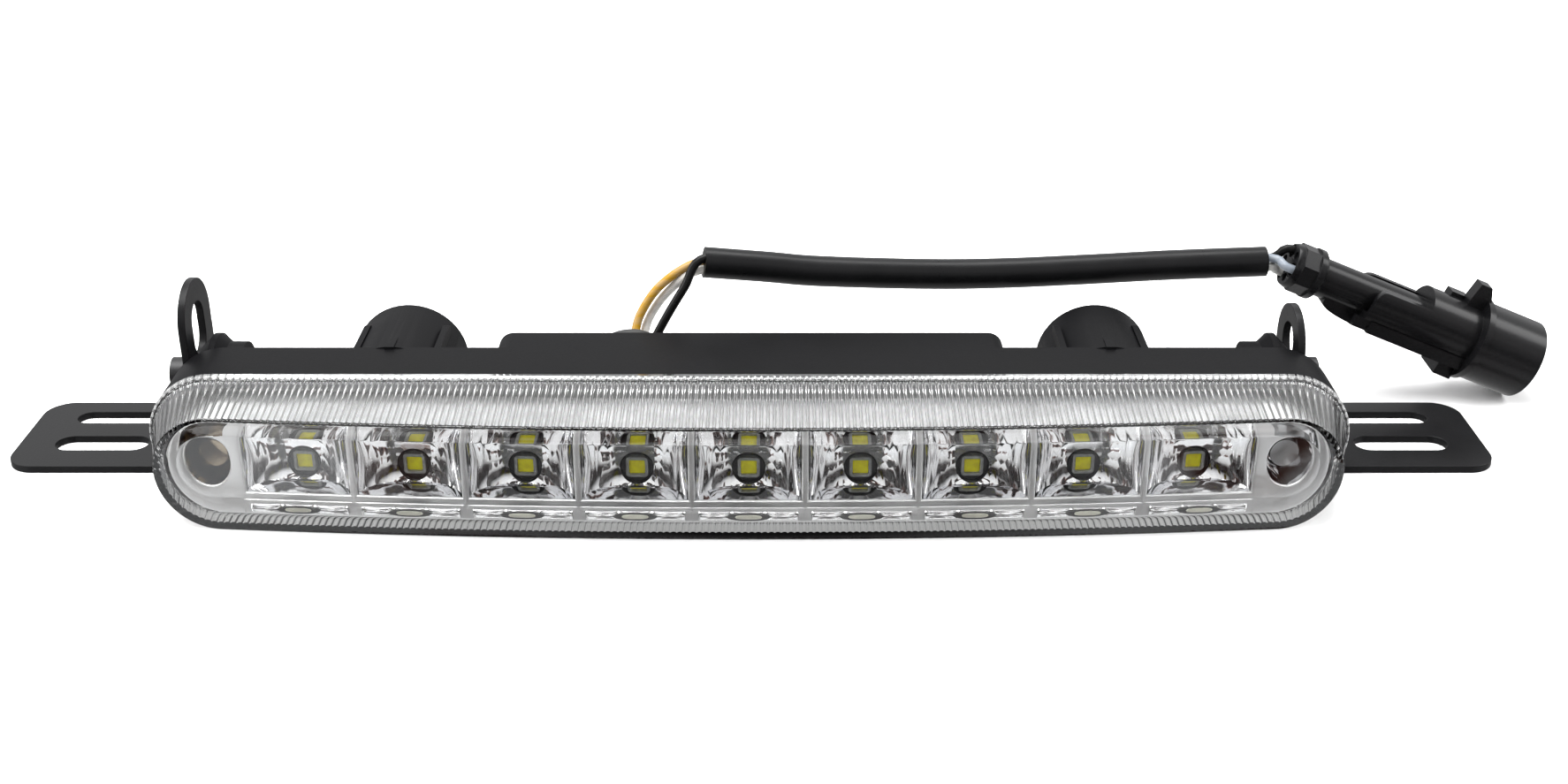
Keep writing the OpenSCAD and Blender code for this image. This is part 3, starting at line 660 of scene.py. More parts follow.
@dataclass
class Lens:
    """The clear lens: raised window, bevel, skirt with flutes inside and a flat rim."""

    frame: Frame
    lamp_w: float = 226.4
    lamp_h: float = 25.0
    depth: float = 20.2
    front_h: float = 22.8
    front_taper: float = 8.4
    window_margin: float = 5.2
    window_top: float = 2.2
    window_low: float = 7.8
    bevel: float = 1.7
    # What is left of the window's margins at the foot of the bevel, as shares.
    foot_end: float = 0.5
    foot_low: float = 0.46
    foot_top: float = 0.18
    # Depth of the flat at that foot, and how far the rim stands out from the skirt.
    crease: float = 0.1
    ledge: float = 0.6
    # How far the rounding of each outer outline reaches, and how far the window's edge is drawn in.
    corner_reach: Tuple[float, ...] = (0.0, 0.3, 0.3, 0.3, 0.2, 0.15)
    window_round: float = 0.3
    wall: float = 1.1
    front_wall: float = 1.6
    flute_pitch: float = 1.2
    flute_depth: float = 0.26
    rim_t: float = 1.2
    per_flute: int = 8
    shared_flat: float = 96.0
    flats: int = field(init=False)
    arcs: int = field(init=False)

    def __post_init__(self) -> None:
        """Counts the points of an outline from the flutes."""
        half, radius = self.front_half - self.wall, self.front_h / 2.0 - self.wall
        around = math.pi * radius + 2.0 * (half - radius - self.shared_flat)
        self.flats = self.per_flute * round(2.0 * self.shared_flat / self.flute_pitch)
        self.arcs = self.per_flute * round(around / self.flute_pitch)

    @property
    def front_half(self) -> float:
        """Half length of the front outline."""
        return (self.lamp_w - self.front_taper) / 2.0

    def outside(self) -> List[LensRing]:
        """Outlines of the outer surface, from the window to the rim."""
        front_r, mid = self.front_h / 2.0, self.lamp_h / 2.0
        rings = []
        shares = ((0.0, 1.0, 1.0, 1.0), (self.bevel, self.foot_end, self.foot_low, self.foot_top))
        for y, end_share, low_share, top_share in shares:
            low = self.window_low * low_share
            top = self.front_h - self.window_top * top_share
            half = self.front_half - end_share * self.window_margin
            rings.append(LensRing(half, (top - low) / 2.0, (top + low) / 2.0, y))
        return rings + [
            LensRing(self.front_half, front_r, front_r, self.bevel + self.crease),
            LensRing(self.lamp_w / 2.0 - self.ledge, mid - self.ledge, mid, self.depth - self.rim_t, 0.0),
            LensRing(self.lamp_w / 2.0, mid, mid, self.depth - self.rim_t, 0.0),
            LensRing(self.lamp_w / 2.0, mid, mid, self.depth, 0.0),
        ]

    def inside(self) -> List[LensRing]:
        """Outlines of the inner surface, from the rim to the front wall."""
        front_r, mid = self.front_h / 2.0, self.lamp_h / 2.0
        half = self.lamp_w / 2.0 - self.ledge - self.wall
        return [
            LensRing(half, mid - self.ledge - self.wall, mid, self.depth, 0.0, self.flute_depth),
            LensRing(
                self.front_half - self.wall,
                front_r - self.wall,
                front_r,
                self.bevel + self.front_wall,
                1.0,
                self.flute_depth,
            ),
        ]

    @staticmethod
    def rounded(rings: Sequence[LensRing], radii: Sequence[float], steps: int = 3) -> List[LensRing]:
        """Rounds the corners between outlines.

        Args:
            rings: The outlines.
            radii: How far each corner's rounding reaches, in millimetres.
            steps: Outlines for each rounding.

        Returns:
            The outlines with the corners replaced by arcs.
        """

        def mixed(a: LensRing, b: LensRing, t: float) -> LensRing:
            """The outline between two."""
            keys = ("half", "radius", "z", "y", "bowed", "flute")
            return LensRing(*[getattr(a, k) * (1 - t) + getattr(b, k) * t for k in keys])

        def gap(a: LensRing, b: LensRing) -> float:
            """Distance between two outlines on their section."""
            return max(1e-6, math.hypot(a.radius - b.radius, a.y - b.y))

        made = [rings[0]] if radii[0] == 0 else []
        for i, (ring, reach) in enumerate(zip(rings, radii)):
            if i == 0 or i == len(rings) - 1 or reach == 0:
                if i > 0:
                    made.append(ring)
                continue
            before = mixed(ring, rings[i - 1], min(0.45, reach / gap(ring, rings[i - 1])))
            after = mixed(ring, rings[i + 1], min(0.45, reach / gap(ring, rings[i + 1])))
            for k in range(steps + 1):
                t = k / steps
                made.append(mixed(mixed(before, ring, t), mixed(ring, after, t), t))
        return made

    def outline(self, ring: LensRing) -> List[Vector]:
        """The points of an outline, clockwise from the top left corner as seen from the front."""
        flat, r = self.shared_flat, ring.radius
        extra = ring.half - r - flat
        half = [(-flat + 2 * flat * i / self.flats, r, 0.0, -1.0) for i in range(self.flats)]
        for i in range(self.arcs):
            way = (math.pi * r + 2 * extra) * i / self.arcs
            a = math.pi / 2 - min(math.pi, max(0.0, way - extra) / r)
            x = flat + (way if way < extra else extra - max(0.0, way - extra - math.pi * r))
            half.append((x + r * math.cos(a), r * math.sin(a), -math.cos(a), -math.sin(a)))
        points = [(x, ring.z + z, nx, nz) for x, z, nx, nz in half]
        points += [(-x, ring.z - z, -nx, -nz) for x, z, nx, nz in half]
        made = []
        for i, (x, z, nx, nz) in enumerate(points):
            push = ring.flute * math.sin(math.pi * (i % self.per_flute) / self.per_flute)
            x, z = x + nx * push, z + nz * push
            made.append(self.frame.metres((x, ring.y + ring.bowed * self.frame.bow(x), z)))
        return made

    def across(self, bm: bmesh.types.BMesh, loop: Sequence[bmesh.types.BMVert], flip: bool) -> None:
        """Closes an outline with upright strips, so that it stays on the bow."""
        low_left = 2 * self.flats + self.arcs
        faces = [
            (loop[i], loop[low_left - i], loop[low_left - i - 1], loop[i + 1]) for i in range(self.flats)
        ]
        right = [loop[i] for i in range(self.flats, self.flats + self.arcs + 1)]
        left = [loop[i] for i in range(low_left, len(loop))] + [loop[0]]
        for i in range(1, len(right) - 1):
            faces.append((right[0], right[i + 1], right[i]))
        for i in range(0, len(left) - 2):
            faces.append((left[-1], left[i + 1], left[i]))
        for face in faces:
            bm.faces.new(tuple(reversed(face)) if flip else face)

    def build(self) -> bpy.types.Object:
        """Makes the lens as one closed mesh."""
        outer = self.rounded(self.outside(), self.corner_reach)
        outer.insert(0, self.shrunk(self.outside()[0], self.window_round))
        bm = bmesh.new()
        loops = polar_loft(bm, [self.outline(ring) for ring in outer + self.inside()], False)
        self.across(bm, loops[0], False)
        self.across(bm, loops[-1], True)
        bmesh.ops.recalc_face_normals(bm, faces=bm.faces)
        for loop in (loops[-1], loops[-2]):
            ring = set(loop)
            for edge in {e for v in loop for e in v.link_edges if set(e.verts) <= ring}:
                edge.smooth = False
        obj = make_object("lens_shell", bm)
        weighted = obj.modifiers.new("shade", "WEIGHTED_NORMAL")
        weighted.keep_sharp = True
        weighted.weight = 90
        bake_modifiers(obj)
        return obj

    @staticmethod
    def shrunk(ring: LensRing, by: float) -> LensRing:
        """The same outline, a little smaller all round."""
        return LensRing(ring.half - by, ring.radius - by, ring.z, ring.y, ring.bowed, ring.flute)


# Reflector and LEDs


class BowTree(GeometryTree):
    """Repeats a tile along the bow."""

    def __init__(self) -> None:
        """Builds the tree with its named inputs."""
        inputs = {name: "NodeSocketFloat" for name in ("Pitch", "Bow Radius", "Front", "Merge")}
        inputs = {"Count": "NodeSocketInt", **inputs, "Finish": "NodeSocketMaterial"}
        super().__init__("tiles_on_bow", inputs)
        tree = self.tree
        start, end = tree.nodes.new("NodeGroupInput"), tree.nodes.new("NodeGroupOutput")
        source = start.outputs
        line = self.add("GeometryNodeMeshLine", {"Count": source["Count"]})
        index = self.add("GeometryNodeInputIndex", {})
        last = self.calc("SUBTRACT", source["Count"], 1.0)
        middle = self.calc("MULTIPLY", last, 0.5)
        steps = self.calc("SUBTRACT", index.outputs[0], middle)
        x = self.calc("MULTIPLY", steps, source["Pitch"])
        angle = self.calc("ARCSINE", self.calc("DIVIDE", x, source["Bow Radius"]), 0.0)
        fall = self.calc("MULTIPLY", self.calc("COSINE", angle, 0.0), source["Bow Radius"])
        y = self.calc("ADD", self.calc("SUBTRACT", source["Bow Radius"], fall), source["Front"])
        place = self.add("ShaderNodeCombineXYZ", {"X": x, "Y": y})
        turn = self.add("ShaderNodeCombineXYZ", {"Z": angle})
        laid = self.add(
            "GeometryNodeSetPosition", {"Geometry": line.outputs[0], "Position": place.outputs[0]}
        )
        tiles = self.add(
            "GeometryNodeInstanceOnPoints",
            {"Points": laid.outputs[0], "Instance": source["Geometry"], "Rotation": turn.outputs[0]},
        )
        real = self.add("GeometryNodeRealizeInstances", {"Geometry": tiles.outputs[0]})
        weld = self.add(
            "GeometryNodeMergeByDistance", {"Geometry": real.outputs[0], "Distance": source["Merge"]}
        )
        paint = self.add(
            "GeometryNodeSetMaterial", {"Geometry": weld.outputs[0], "Material": source["Finish"]}
        )
        tree.links.new(paint.outputs[0], end.inputs["Geometry"])

    def add(self, kind: str, inputs: Dict[str, object]) -> bpy.types.Node:
        """Adds a node with the values or links of its sockets."""
        node = self.tree.nodes.new(kind)
        for key, value in inputs.items():
            if isinstance(value, bpy.types.NodeSocket):
                self.tree.links.new(value, node.inputs[key])
            else:
                node.inputs[key].default_value = value
        return node

    def calc(self, operation: str, a: object, b: object) -> bpy.types.NodeSocket:
        """Adds a Math node and returns its output."""
        node = self.tree.nodes.new("ShaderNodeMath")
        node.operation = operation
        for socket, value in zip(node.inputs, (a, b)):
            if isinstance(value, bpy.types.NodeSocket):
                self.tree.links.new(value, socket)
            else:
                socket.default_value = value
        return node.outputs[0]

    def spread(
        self, tile: bpy.types.Object, row: "LedRow", finish: bpy.types.Material, merge: float
    ) -> None:
        """Repeats a tile at each place of the row, in place.

        Args:
            tile: The object that holds one tile, in metres.
            row: The row of LEDs.
            finish: The material of every face.
            merge: Distance within which points are welded, in metres.
        """
        values = {
            "Count": row.count,
            "Pitch": row.pitch * MM,
            "Bow Radius": row.frame.bow_r * MM,
            "Front": -row.frame.total_y / 2.0 * MM,
            "Merge": merge,
            "Finish": finish,
        }
        self.run(tile, values)


@dataclass
class LedRow:
    """The row of LEDs and where it stands."""

    frame: Frame
    count: int = 9
    pitch: float = 20.8
    z: float = 11.0
    face_y: float = 11.0
    side: float = 4.1
    thick: float = 0.9
    # How far a package's rim stands before the face, the radius of its corners and its recess's depth.
    rim_rise: float = 0.3
    corner: float = 0.7
    well: float = 0.55
    phosphor: float = 3.0
    # Front and back of the phosphor behind the face, and the radius of its corners.
    phosphor_front: float = 0.2
    phosphor_back: float = 0.6
    phosphor_corner: float = 0.35

    def package(
        self, name: str, side: float, y1: float, y2: float, corner: float, well: Flat = (0, 0)
    ) -> bpy.types.Object:
        """One rounded square block, to be repeated along the bow.

        Args:
            name: The object's name.
            side: Its side.
            y1: Its front.
            y2: Its back.
            corner: Radius of its corners.
            well: Rim and depth of a recess in its front.

        Returns:
            The block, on the middle of the lamp.
        """
        bm = bmesh.new()
        rings = []
        profile = [(0.0, y2), (0.0, y1 + 0.12), (0.05, y1 + 0.03), (0.14, y1)]
        if well[1] > 0:
            profile += [(well[0], y1), (well[0] + 0.05, y1 + well[1])]
        for inset, y in profile:
            ring = []
            for k in range(4):
                for a in range(5):
                    angle = math.radians(90 * k + 22.5 * a)
                    r = max(0.25, corner - inset)
                    cx = (side / 2 - inset - r) * (1 if k in (0, 3) else -1)
                    cz = (side / 2 - inset - r) * (1 if k in (0, 1) else -1)
                    ring.append(
                        ((cx + r * math.cos(angle)) * MM, y * MM, (self.z + cz + r * math.sin(angle)) * MM)
                    )
            rings.append(ring)
        loops = polar_loft(bm, rings, True)
        bm.faces.new(loops[0])
        bmesh.ops.recalc_face_normals(bm, faces=bm.faces)
        return make_object(name, bm, smooth=False)

    def build(self, dresser: Dresser, tree: BowTree) -> None:
        """Makes the packages and their phosphor faces."""
        front = self.face_y
        rim = (self.side - self.phosphor) / 2
        y1, y2, well = front - self.rim_rise, front + self.thick, (rim, self.well)
        body = self.package("led_packages", self.side, y1, y2, self.corner, well)
        tree.spread(body, self, dresser.material(Palette.PACKAGE), 0.0)
        y1, y2 = front + self.phosphor_front, front + self.phosphor_back
        face = self.package("led_phosphors", self.phosphor, y1, y2, self.phosphor_corner)
        tree.spread(face, self, dresser.material(Palette.PHOSPHOR), 0.0)
        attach(body, "root")
        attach(face, "root")
        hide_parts(*[f"led_{i}" for i in range(1, self.count + 1)])
        LOG.info("%d LEDs", self.count)


@dataclass
class Reflector:
    """The chrome moulding: cells with scalloped walls, and a domed pocket at each end."""

    frame: Frame
    row: LedRow
    front: float = 5.8
    depth: float = 5.0
    skirt: float = 13.2
    cell_w: float = 19.4
    cell_h: float = 11.6
    cell_z: float = 12.8
    rise: float = 0.8
    facet_z: float = 4.75
    facet_h: float = 2.2
    hole_r: float = 3.08
    half: float = 105.85
    radius: float = 8.25
    mid_z: float = 11.4
    edge: float = 0.45
    waist: float = 3.3
    rows: int = 18
    # How much shallower a wall is at its top and foot, where the rise ends, and how deep a scallop sags.
    dish: float = 0.24
    rise_share: float = 0.76
    sag: float = 0.06
    # From a cell's side to the outermost facet, and the bulge between and on the facets.
    facet_inset: float = 0.6
    facet_swell: Flat = (0.35, 0.75)
    # Middle of an end pocket, its half width, its reach up and down, its depth, and how far it closes.
    pocket_x: float = 99.5
    pocket_z: float = 13.3
    pocket_rx: float = 4.2
    pocket_up: float = 4.6
    pocket_down: float = 5.2
    pocket_deep: float = 6.2
    pocket_close: float = 4.05

    def plan(self) -> List[Flat]:
        """Half of a cell in plan, from the middle's waist to the mouth, with its scallops."""
        w, d = self.cell_w / 2.0, self.depth
        knots = ((self.waist, d), (5.5, 0.86 * d), (7.5, 0.6 * d), (w - 0.6, 0.3 * d), (w, 0.0))
        made = []
        for (x1, y1), (x2, y2) in zip(knots, knots[1:]):
            dx, dy = x2 - x1, y2 - y1
            long = math.hypot(dx, dy)
            for k in range(6):
                t = k / 6
                sag = 4 * t * (1 - t) * self.sag * long
                made.append((x1 + t * dx - sag * dy / long, y1 + t * dy + sag * dx / long))
        return made + [(w, 0.0)]

    def bowl(self, y: float, v: float) -> float:
        """Depth of the wall at height v from -1 to 1, where the bowl is deepest in the middle."""
        return y * (1.0 - self.dish * abs(v) ** 2.0)

    def height(self, y: float, v: float) -> float:
        """Height of a point at v from -1 to 1, where floor and ceiling close in with depth."""
        closed = self.rise * min(1.0, y / (self.rise_share * self.depth))
        return self.cell_z + v * (self.cell_h / 2.0 - closed)

    def point(self, x: float, y: float, z: float) -> Point:
        """A point of the middle tile, in metres."""
        return (x * MM, (self.front + y) * MM, z * MM)

    def tile(self) -> bpy.types.Object:
        """The walls, floor, ceiling and back of one cell."""
        bm = bmesh.new()
        levels = [-1 + 2 * k / self.rows for k in range(self.rows + 1)]
        for side in (-1, 1):
            columns = []
            for x, y in self.plan():
                columns.append(
                    [bm.verts.new(self.point(side * x, self.bowl(y, v), self.height(y, v))) for v in levels]
                )
            for a, b in zip(columns, columns[1:]):
                for k in range(self.rows):
                    bm.faces.new((a[k], a[k + 1], b[k + 1], b[k]))
        self.back(bm)
        for v in (-1, 1):
            right = [self.point(x, self.bowl(y, v), self.height(y, v)) for x, y in self.plan()]
            left = [(-p[0], p[1], p[2]) for p in reversed(right)]
            strip = [bm.verts.new(p) for p in left + right]
            n = len(strip)
            for k in range(n // 2 - 1):
                bm.faces.new((strip[k], strip[k + 1], strip[n - 2 - k], strip[n - 1 - k]))
        bmesh.ops.remove_doubles(bm, verts=bm.verts, dist=WELD)
        return make_object("reflector_cells", bm)

    def facets(self) -> bpy.types.Object:
        """The row of small bulged facets that the lower bevel shows below a cell."""
        bm = bmesh.new()
        half, across, up = self.cell_w / 2.0 - self.facet_inset, 60, 8
        between, on = self.facet_swell
        columns = []
        for i in range(across + 1):
            u = i / across
            scallop = abs(math.sin(3.0 * math.pi * u)) ** 0.6
            column = []
            for k in range(up + 1):
                v = -1.0 + 2.0 * k / up
                y = -self.edge - 0.1 - (between + on * scallop) * (1.0 - v * v) ** 0.5
                z = self.facet_z + v * self.facet_h / 2
                column.append(bm.verts.new(self.point(half * (2 * u - 1), y, z)))
            columns.append(column)
        for a, b in zip(columns, columns[1:]):
            for k in range(up):
                bm.faces.new((a[k], b[k], b[k + 1], a[k + 1]))
        return make_object("reflector_facets", bm)

    def inlay(self, name: str, half: Flat, y: float, power: float) -> bpy.types.Object:
        """A small raised plate in the middle of the facets.

        Args:
            name: The object's name.
            half: Half of its width and half of its height.
            y: Its front behind the land's plane.
            power: 2 for an ellipse, more for a rounded rectangle.

        Returns:
            The plate of the middle tile.
        """
        bm = bmesh.new()
        rings = []
        for inset, back in ((0.0, 0.9), (0.0, 0.12), (0.12, 0.0)):
            ring = []
            for k in range(40):
                a = -2 * math.pi * k / 40
                x, z = superellipse(a, half[0] - inset, half[1] - inset, power)
                ring.append(self.point(x, y + back, self.facet_z + z))
            rings.append(ring)
        polar_loft(bm, rings, True)
        bmesh.ops.recalc_face_normals(bm, faces=bm.faces)
        return make_object(name, bm)

    def hoop(self) -> bpy.types.Object:
        """Painted shade: a black ring round an LED's hole, which stands in for the shadow at the hole's edge.
        """
        bm = bmesh.new()
        rings = []
        for r, y in ((0.12, -0.02), (0.08, -0.14), (-0.1, -0.16), (-0.16, 0.0), (-0.16, 0.3)):
            ring = []
            for k in range(64):
                a = -2 * math.pi * k / 64
                radius = self.hole_r + r
                z = self.row.z + radius * math.sin(a)
                ring.append(self.point(radius * math.cos(a), self.depth + y, z))
            rings.append(ring)
        polar_loft(bm, rings, False)
        return make_object("led_hoops", bm)

    def skirt_tile(self) -> bpy.types.Object:
        """The satin walls above and below a cell, back from the land."""
        bm = bmesh.new()
        half = self.row.pitch / 2.0
        for z in (self.mid_z - self.radius, self.mid_z + self.radius):
            corners = ((-half, 0.0), (half, 0.0), (half, self.skirt), (-half, self.skirt))
            bm.faces.new([bm.verts.new(self.point(x, y, z)) for x, y in corners])
        return make_object("reflector_skirt", bm, smooth=False)

    def back(self, bm: bmesh.types.BMesh) -> None:
        """The wall round the LED, with its round hole and the hole's short tube."""
        h, steps = self.cell_h / 2.0 - self.rise, 64
        flat = self.bowl(self.depth, 1.0) / self.depth
        low, high = (-self.waist, self.cell_z - h), (self.waist, self.cell_z + h)
        rings: List[List[Point]] = []
        for share in (1.0, 0.66, 0.33, 0.0):
            ring = []
            for k in range(steps):
                a = 2 * math.pi * (k + 0.5) / steps
                dx, dz = math.cos(a), math.sin(a)
                reach = ray_box(0.0, self.row.z, dx, dz, low, high)
                r = self.hole_r + (reach - self.hole_r) * share
                x, z = r * dx, self.row.z + r * dz
                deep = self.bowl(self.depth, (z - self.cell_z) / h)
                ring.append(self.point(x, deep + (self.depth - deep) * (1.0 - share) * (1.0 - flat), z))
            rings.append(ring)
        rings.append([(p[0], (self.front + self.depth + 0.25) * MM, p[2]) for p in rings[-1]])
        polar_loft(bm, rings, False)

    def land(self) -> bpy.types.Object:
        """The rounded land round a cell, out to the next one and over the long edges."""
        bm = bmesh.new()
        half, e, h = self.row.pitch / 2.0, self.edge, self.cell_h / 2.0
        w = self.cell_w / 2.0
        corners = ((-1, -1), (1, -1), (1, 1), (-1, 1))
        loops = []
        for k in range(4):
            t = math.pi / 2 * k / 3
            out, y = e * (1 - math.cos(t)), -e * math.sin(t)
            x = min(w + out, half)
            loops.append([(sx * x, y, self.cell_z + sz * (h + out)) for sx, sz in corners])
        top, bottom = self.mid_z + self.radius - e, self.mid_z - self.radius + e
        loops.append([(-half, -e, bottom), (half, -e, bottom), (half, -e, top), (-half, -e, top)])
        polar_loft(bm, [[self.point(*p) for p in loop] for loop in loops], False)
        for z, sign in ((bottom, -1), (top, 1)):
            previous = None
            for k in range(5):
                t = math.pi / 2 * k / 4
                y = -e * math.cos(t)
                out = e * math.sin(t)
                pair = [bm.verts.new(self.point(s * half, y, z + sign * out)) for s in (-1, 1)]
                if previous:
                    bm.faces.new((previous[0], previous[1], pair[1], pair[0]))
                previous = pair
        bmesh.ops.remove_doubles(bm, verts=bm.verts, dist=WELD)
        return make_object("reflector_land", bm)

    def end(self, side: int) -> Tuple[bpy.types.Object, bpy.types.Object]:
        """The rounded end beyond the last cell, and its egg-shaped pocket."""
        steps = 96
        x0 = self.half - self.radius
        tile_x = self.row.pitch * self.row.count / 2.0
        cx, cz = self.pocket_x, self.pocket_z
        angles = [2 * math.pi * k / steps for k in range(steps)]

        def outer(a: float, inset: float) -> Flat:
            """Where a ray meets the reflector's outline, moved in by inset."""
            dx, dz, r = math.cos(a), math.sin(a), self.radius - inset
            box = ray_box(cx, cz, dx, dz, (tile_x, self.mid_z - r), (x0 + r, self.mid_z + r))
            x, z = cx + box * dx, cz + box * dz
            if x > x0:
                ox, oz = cx - x0, cz - self.mid_z
                b, c = ox * dx + oz * dz, ox * ox + oz * oz - r * r
                t = -b + math.sqrt(max(0.0, b * b - c))
                if x0 < cx + t * dx:
                    x, z = cx + t * dx, cz + t * dz
            return x, z

        def mouth(a: float, inset: float) -> Flat:
            """Where a ray meets the pocket's mouth, a rounded D, moved in by inset."""
            up = math.sin(a) > 0
            rz = (self.pocket_up if up else self.pocket_down) - inset
            x, z = superellipse(a, self.pocket_rx - inset, rz, 2.4 if up else 2.0)
            return cx + x, cz + z

        def ring(points: Iterable[Flat], y: float) -> List[Point]:
            """Places a ring of points at depth y behind the land."""
            made = []
            for x, z in points:
                p = (x - side_x, self.front + y, z)
                q = self.frame.along_bow(side_x, p)
                v = self.frame.metres((side * q[0], q[1], q[2]))
                made.append(tuple(v))
            return made

        side_x = cx
        e = self.edge
        rings = [ring([outer(a, 0.0) for a in angles], self.skirt)]
        for k in range(4):
            t = math.pi / 2 * k / 3
            rings.append(ring([outer(a, e * (1 - math.cos(t))) for a in angles], -e * math.sin(t)))
        for k in range(5):
            t = math.pi / 2 * k / 4
            rings.append(ring([mouth(a, -e * (1 - math.sin(t))) for a in angles], -e * math.cos(t)))
        bowl = [ring([mouth(a, 0.0) for a in angles], 0.0)]
        for k in range(1, 13):
            t = k / 12
            depth = self.pocket_deep * math.sin(0.8 * t * math.pi)
            inset = 0.02 + self.pocket_close * (1 - math.cos(t * math.pi / 2))
            bowl.append(ring([mouth(a, inset) for a in angles], depth))
        made = []
        for name, loops, close in (("end", rings, False), ("pocket", bowl, True)):
            bm = bmesh.new()
            polar_loft(bm, loops, close)
            bmesh.ops.recalc_face_normals(bm, faces=bm.faces)
            made.append(make_object(f"reflector_{name}_{'left' if side < 0 else 'right'}", bm))
        return made[0], made[1]

    def build(self, dresser: Dresser, tree: BowTree) -> None:
        """Makes the cells and both ends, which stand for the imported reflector."""
        tiles = (
            (self.tile(), Palette.CHROME),
            (self.land(), Palette.LAND),
            (self.skirt_tile(), Palette.SATIN),
            (self.facets(), Palette.CHROME),
            (self.inlay("facet_plates", (4.2, 0.95), -1.75, 2.0), Palette.RING),
            (self.inlay("facet_bars", (2.5, 0.55), -1.95, 3.0), Palette.CERAMIC),
            # The hoops are painted shade: black rings for the shadow at the edge of each LED's hole.
            (self.hoop(), Palette.RING),
        )
        for tile, finish in tiles:
            tree.spread(tile, self.row, dresser.material(finish), TILE_WELD)
        parts = list(tiles)
        for side, pocket in ((-1, Palette.SMOKED), (1, Palette.CHROME)):
            land, bowl = self.end(side)
            parts += [(land, Palette.LAND), (bowl, pocket)]
        for part, finish in parts:
            dresser.dress(part, finish)
            smooth_faces(part.data)
            part.data.set_sharp_from_angle(angle=math.radians(24))
            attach(part, "root")
            LOG.info("%s has %d faces", part.name, len(part.data.polygons))
        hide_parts("reflector")


# Cable


def spline(points: Sequence[Sequence[float]], steps: int) -> List[Vector]:
    """A smooth line through points.

    Args:
        points: The points to pass.
        steps: Points made for each stretch.

    Returns:
        The points of the line.
    """
    p = [Vector(q) for q in points]
    made = []
    for i in range(len(p) - 1):
        a, b, c, d = p[max(i - 1, 0)], p[i], p[i + 1], p[min(i + 2, len(p) - 1)]
        for k in range(steps):
            t = k / steps
            made.append(
                0.5
                * (
                    2 * b
                    + t * (c - a)
                    + t * t * (2 * a - 5 * b + 4 * c - d)
                    + t**3 * (3 * b - a - 3 * c + d)
                )
            )
    return made + [p[-1]]


def even(points: Sequence[Vector], count: int) -> List[Vector]:
    """The same line with evenly spaced points."""
    lengths = [0.0]
    for a, b in zip(points, points[1:]):
        lengths.append(lengths[-1] + (b - a).length)
    made, j = [], 0
    for i in range(count):
        want = lengths[-1] * i / (count - 1)
        while j < len(points) - 2 and lengths[j + 1] < want:
            j += 1
        t = (want - lengths[j]) / max(1e-9, lengths[j + 1] - lengths[j])
        made.append(points[j].lerp(points[j + 1], min(1.0, max(0.0, t))))
    return made


class TubeTree(GeometryTree):
    """Sweeps a round section along the edges of a line."""

    def __init__(self) -> None:
        """Builds the tree with its named inputs."""
        inputs = {"Diameter": "NodeSocketFloat", "Sides": "NodeSocketInt", "Finish": "NodeSocketMaterial"}
        super().__init__("swept_tube", inputs)
        tree = self.tree
        nodes, link = tree.nodes, tree.links.new
        start, end = nodes.new("NodeGroupInput"), nodes.new("NodeGroupOutput")
        curve = nodes.new("GeometryNodeMeshToCurve")
        circle = nodes.new("GeometryNodeCurvePrimitiveCircle")
        half = nodes.new("ShaderNodeMath")
        half.operation = "MULTIPLY"
        half.inputs[1].default_value = 0.5
        sweep = nodes.new("GeometryNodeCurveToMesh")
        sweep.inputs["Fill Caps"].default_value = True
        real = nodes.new("GeometryNodeRealizeInstances")
        smooth = nodes.new("GeometryNodeSetShadeSmooth")
        paint = nodes.new("GeometryNodeSetMaterial")
        link(start.outputs["Geometry"], curve.inputs["Mesh"])
        link(start.outputs["Diameter"], half.inputs[0])
        link(half.outputs[0], circle.inputs["Radius"])
        link(start.outputs["Sides"], circle.inputs["Resolution"])
        link(curve.outputs["Curve"], sweep.inputs["Curve"])
        link(circle.outputs["Curve"], sweep.inputs["Profile Curve"])
        link(sweep.outputs["Mesh"], smooth.inputs["Geometry"])
        link(smooth.outputs["Geometry"], real.inputs["Geometry"])
        link(real.outputs["Geometry"], paint.inputs["Geometry"])
        link(start.outputs["Finish"], paint.inputs["Material"])
        link(paint.outputs["Geometry"], end.inputs["Geometry"])

    def sweep(
        self, name: str, path: Sequence[Vector], diameter: float, sides: int, finish: bpy.types.Material
    ) -> bpy.types.Object:
        """Makes a tube along a path.

        Args:
            name: The piece's name.
            path: Its centreline, in metres.
            diameter: In metres.
            sides: Points round the section.
            finish: Its material.

        Returns:
            The tube as a plain mesh.
        """
        mesh = bpy.data.meshes.new(name)
        mesh.from_pydata([tuple(p) for p in path], [(i, i + 1) for i in range(len(path) - 1)], [])
        obj = bpy.data.objects.new(name, mesh)
        bpy.context.scene.collection.objects.link(obj)
        self.run(obj, {"Diameter": diameter, "Sides": sides, "Finish": finish})
        return obj


@dataclass(frozen=True)
class Wire:
    """How one wire runs.

    Attributes:
        name: The piece's name.
        finish: Its insulation.
        start: Its place on the gland along X and Z, from the gland's middle.
        mids: Points between the gland and the sleeve.
        offs: Its places in the sleeve, at the sleeve's start and at its end.
        hole: Angle of its hole in the retainer, in degrees.
        nodes: The nodes that it stands for.
    """

    name: str
    finish: Palette
    start: Flat
    mids: Tuple[Point, Point]
    offs: Tuple[Point, Point]
    hole: float
    nodes: Tuple[str, ...]


